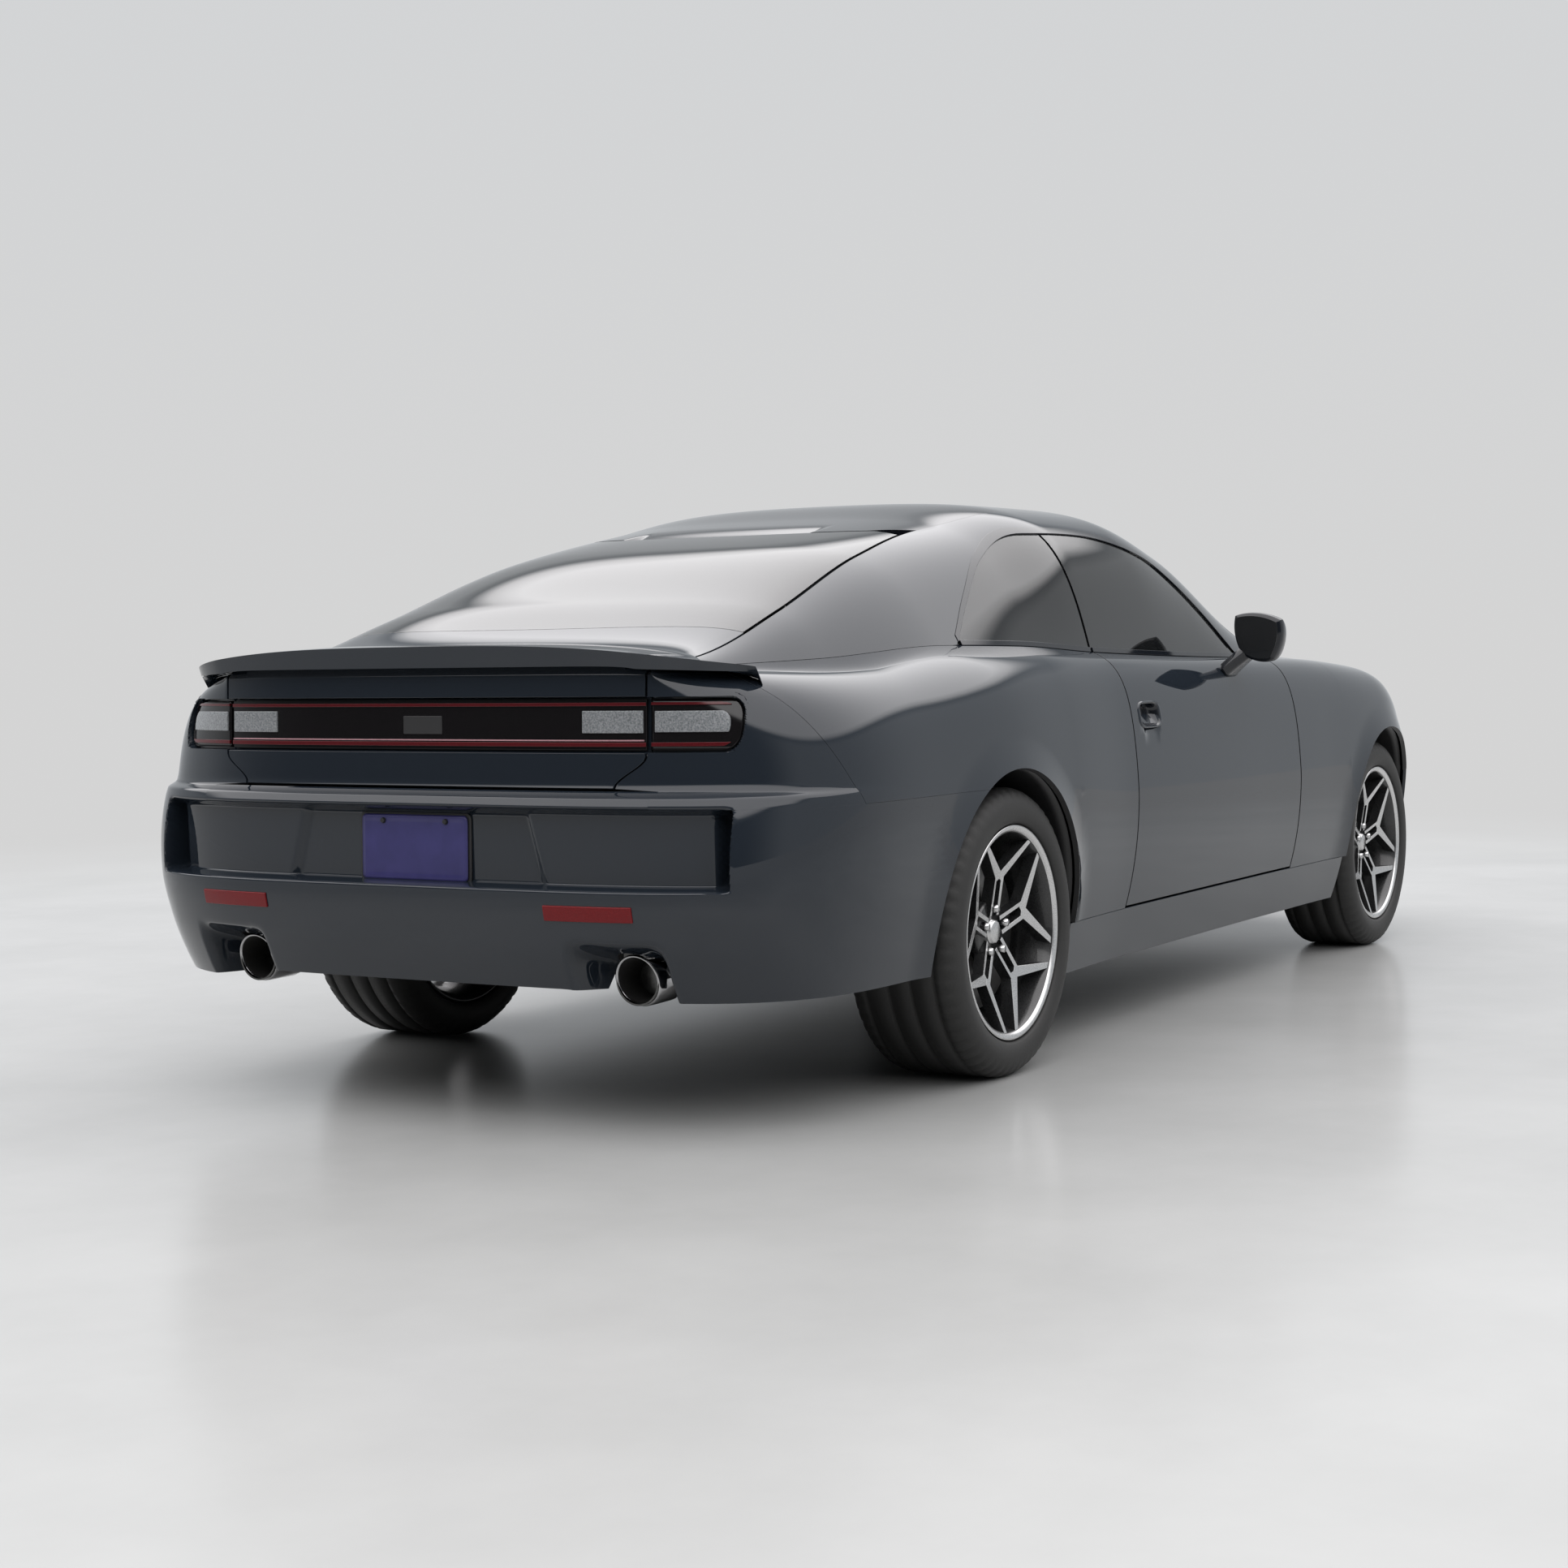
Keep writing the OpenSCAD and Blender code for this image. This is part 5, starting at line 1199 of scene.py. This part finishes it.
def spoke_mesh(w):
    lip = lip_of(w)
    half = [
        (0.040, 0.0135), (0.128, 0.0125), (0.133, 0.0), (0.152, 0.0), polar(0.252, 27.0), polar(0.252, 30.6),
        (0.136, 0.0235), (0.040, 0.0245),
    ]
    bm = bmesh.new()
    for k in range(5):
        for sign in (1, -1):
            angle = math.radians(72 * k + 90)
            ring = []
            for px, py in half:
                qx = px * math.cos(angle) - sign * py * math.sin(angle)
                qy = px * math.sin(angle) + sign * py * math.cos(angle)
                ring.append(bm.verts.new((qx, qy, lip + dish(FACE, math.hypot(px, py)))))
            face = bm.faces.new(ring if sign > 0 else ring[::-1])
            cut = bmesh.ops.triangulate(bm, faces=[face])["faces"]
            grown = bmesh.ops.extrude_face_region(bm, geom=cut, use_keep_orig=True)["geom"]
            for v in grown:
                if isinstance(v, bmesh.types.BMVert):
                    v.co.z = lip + dish(BACK, math.hypot(v.co.x, v.co.y))
    bmesh.ops.recalc_face_normals(bm, faces=bm.faces)
    bm.normal_update()
    for f in bm.faces:
        f.material_index = 1 if f.normal.z > 0.7 else 0
    return bm


def rim_band_mesh(w):
    R, lip = rim_d / 2, lip_of(w)
    return spun(
        [
            (R - 0.018, lip - 0.008), (R - 0.007, lip), (R - 0.001, lip), (R, lip - 0.002), (R, lip - 0.014),
            (R - 0.014, lip - 0.026), (R - 0.030, lip - 0.064), (R - 0.030, -lip + 0.060),
            (R - 0.014, -lip + 0.024), (R, -lip + 0.012), (R, -lip), (R - 0.008, -lip),
            (R - 0.024, -lip + 0.028), (R - 0.040, -lip + 0.062), (R - 0.040, lip - 0.070),
            (R - 0.022, lip - 0.030),
        ],
        128,
        closed=True,
    )


def hub_mesh(w):
    lip = lip_of(w)
    bm = spun(
        [
            (0.0, lip - 0.049), (0.024, lip - 0.049), (0.029, lip - 0.052), (0.030, lip - 0.060),
            (0.072, lip - 0.062), (0.080, lip - 0.066), (0.080, lip - 0.090), (0.0, lip - 0.090),
        ],
        64,
    )
    for f in bm.faces:
        middle = f.calc_center_median()
        f.material_index = 1 if middle.z > lip - 0.058 and math.hypot(*middle.xy) < 0.031 else 0
    for k in range(5):
        cx, cy = polar(0.0575, 72 * k + 90)
        seat = Matrix.Translation((cx, cy, lip - 0.052))
        nut = bmesh.ops.create_cone(
            bm, cap_ends=True, segments=6, radius1=0.0115, radius2=0.0095, depth=0.020, matrix=seat
        )
        for f in {f for v in nut["verts"] for f in v.link_faces}:
            f.material_index = 1
    return bm


def disc_mesh(w):
    lip = lip_of(w)
    return spun(
        [
            (0.070, lip - 0.100), (0.195, lip - 0.100), (0.195, lip - 0.107), (0.185, lip - 0.109),
            (0.185, lip - 0.121), (0.195, lip - 0.123), (0.195, lip - 0.130), (0.070, lip - 0.130),
        ],
        96,
        closed=True,
    )


for name, x, track, w, sign in (
    ("front_left", x_fa, front_track, front_w, 1),
    ("front_right", x_fa, front_track, front_w, -1),
    ("rear_left", x_ra, rear_track, rear_w, 1),
    ("rear_right", x_ra, rear_track, rear_w, -1),
):
    body = "wheel_" + name
    for label, bm, finish, nodes, soft in (
        ("tyre_tread_", tyre_mesh(w), tyre_rubber, ["tyre_" + name], 0.0),
        ("rim_band_", rim_band_mesh(w), [rim_dark, rim_bright], ["rim_" + name], 0.0),
        ("rim_spokes_", spoke_mesh(w), [rim_dark, rim_bright], (), 0.0012),
        ("rim_hub_", hub_mesh(w), [rim_dark, rim_bright], (), 0.0),
        ("brake_disc_", disc_mesh(w), disc_steel, (), 0.0),
    ):
        if label == "rim_band_":
            lip = lip_of(w)
            for f in bm.faces:
                middle = f.calc_center_median()
                f.material_index = 1 if middle.z > lip - 0.009 and f.normal.z > 0.2 else 0
        stand(bm, x, track, sign)
        piece = place(label + name, bm, finish, body, nodes, edge=soft)
        if label == "rim_spokes_":
            piece.data.shade_flat()


# Door mirrors: a moulded gloss black shell round a flat glass, screwed to the door's shoulder by
# a short arm.
mirror_glass = coat(
    "mirror_glass", "glass", (0.012, 0.013, 0.014), (0.018, 0.019, 0.020), 0.02, 4.0, Specular_IOR_Level=0.8
)
mirror_x, mirror_y, mirror_z = 0.236, 1.030, 1.088
u = stations(np.sin(np.linspace(-math.pi / 2, math.pi / 2, 25)))
v = np.sin(np.linspace(-math.pi / 2, math.pi / 2, 21))[None, :]


def mirror_outline(u, v, k):
    y = mirror_y + k * 0.074 * u * np.sqrt(1 - 0.30 * v * v) + 0.010 * u * v
    z = mirror_z + k * 0.074 * v * np.sqrt(1 - 0.34 * u * u) - 0.008 * u
    return y, z


full = root(1 - np.abs(u) ** 2.6) * root(1 - np.abs(v) ** 2.6)
y, z = mirror_outline(u, v, 1.0)
shell = points(mirror_x + 0.004 + 0.090 * full, y, z)
y, z = mirror_outline(u, v, 0.97)
shell_back = points(mirror_x - 0.026 + 0.010 * np.maximum(np.abs(u), np.abs(v)) ** 6, y, z)
y, z = mirror_outline(u, v, 0.86)
pane = points(mirror_x - 0.0285 + 0 * u * v, y, z)
s = columns(12)
w = rows(9, -1, 1)
arm_y, arm_z = mix(0.925, 0.998, s), mix(0.990, 1.052, s**0.9)
arm_x = mirror_x + 0.018 + mix(0.066, 0.040, s) * w
puff = 0.021 * root(1 - w**4)
arm = points(arm_x, arm_y - 0.4 * puff, arm_z + puff)
arm_under = points(arm_x, arm_y + 0.4 * puff, arm_z - puff - 0.001)
pair("mirror_shell_", shell, gloss_black, "door_", "mirror_", shell_back, edge=0.004)
pair("mirror_pane_", pane[::-1], mirror_glass, "door_", wall=0.002)
pair("mirror_arm_", arm, gloss_black, "door_", inner=arm_under)


# Seats: foam pads under stitched leather covers, two bucket seats and two rear seats, each
# with a crowned cushion and a backrest with sewn cross channels.
leather = coat("seat_leather", "seat", (0.010, 0.010, 0.011), (0.020, 0.020, 0.022), 0.5, 520.0, 0.5)


def pad(length, width, thick, channels):
    """A closed pad: crowned face up, sides pulled in between the corners, flat underneath."""
    u, w = columns(41, -1, 1), rows(37, -1, 1)
    pull_u, pull_w = 1 - 0.03 * (1 - w**2), 1 - 0.03 * (1 - u**2)
    crown = (1 - np.abs(u) ** 6) ** 0.5 * (1 - np.abs(w) ** 6) ** 0.5
    sew = sum(np.exp(-(((u - q) / 0.022) ** 2)) for q in channels) * (np.abs(w) < 0.66)
    sew = sew + np.exp(-(((np.abs(w) - 0.68) / 0.025) ** 2))
    bolster = 0.35 * ease((np.abs(w) - 0.6) / 0.25)
    face = thick * crown * (0.72 + bolster) - 0.010 * sew * crown
    x, y = u * pull_u * length / 2, w * pull_w * width / 2
    up = points(x, y, face + 0.012)
    down = points(x * 0.97, y * 0.97, 0 * face)
    return up, down


def lean(grid, degrees, x, y, z):
    """The pad turned up about Y and moved to its place."""
    k = math.radians(degrees)
    px, py, pz = grid[..., 0], grid[..., 1], grid[..., 2]
    return points(x + px * math.cos(k) + pz * math.sin(k), y + py, z - px * math.sin(k) + pz * math.cos(k))


floor_h = 0.300
for row, x0, y0, width, back_l in (
    ("front", x_fa - 2.060, 0.390, 0.500, 0.640),
    ("rear", x_ra + 0.444, 0.358, 0.420, 0.520),
):
    for hand, sign in sides:
        y_mid, base_z = sign * y0, floor_h + 0.120
        flat = pad(0.500, width, 0.105, (-0.45, -0.1, 0.25, 0.6))
        cushion = [lean(g, -5, x0 + 0.265, y_mid, base_z + 0.030) for g in flat]
        long = pad(back_l, width, 0.110, (-0.6, -0.3, 0.0, 0.3, 0.6))
        back = [lean(g, 102, x0 - 0.085, y_mid, base_z + 0.100 + back_l / 2) for g in long]
        taken = ["seats"] if row == "front" and hand == "left" else ()
        first = place(f"seat_cushion_{row}_{hand}", lay(*cushion), leather, "body", taken)
        place(f"seat_back_{row}_{hand}", lay(*back), leather, "body")
        if row == "front":
            small = pad(0.170, 0.270, 0.075, ())
            rest = [lean(g, 100, x0 - 0.185, y_mid, base_z + 0.100 + back_l + 0.095) for g in small]
            place(f"seat_headrest_{hand}", lay(*rest), leather, "body")


# Running gear, exhaust and cabin: the solids of the frame, each in its own finish. The floor and
# the axles wear underseal, the pipes are plain steel and the engine is a casting.
underside = coat("underseal", "frame_metal", (0.012, 0.012, 0.012), (0.024, 0.024, 0.023), 0.75, 90.0, 0.5)
steel = coat("pipe_steel", "steel", (0.10, 0.10, 0.10), (0.16, 0.16, 0.155), 0.22, 90.0, Metallic=1.0)
cast_alloy = coat(
    "engine_casting", "frame_metal", (0.15, 0.15, 0.15), (0.24, 0.24, 0.235), 0.45, 110.0, 0.4, Metallic=0.8
)
for name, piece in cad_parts.items():
    if piece.hide_render:
        continue
    finish = underside
    if name == "exhaust":
        finish = steel
    elif name in ("dashboard", "steering_wheel"):
        finish = satin_black
    elif name == "engine":
        finish = cast_alloy
    piece.data.materials.clear()
    piece.data.materials.append(finish)
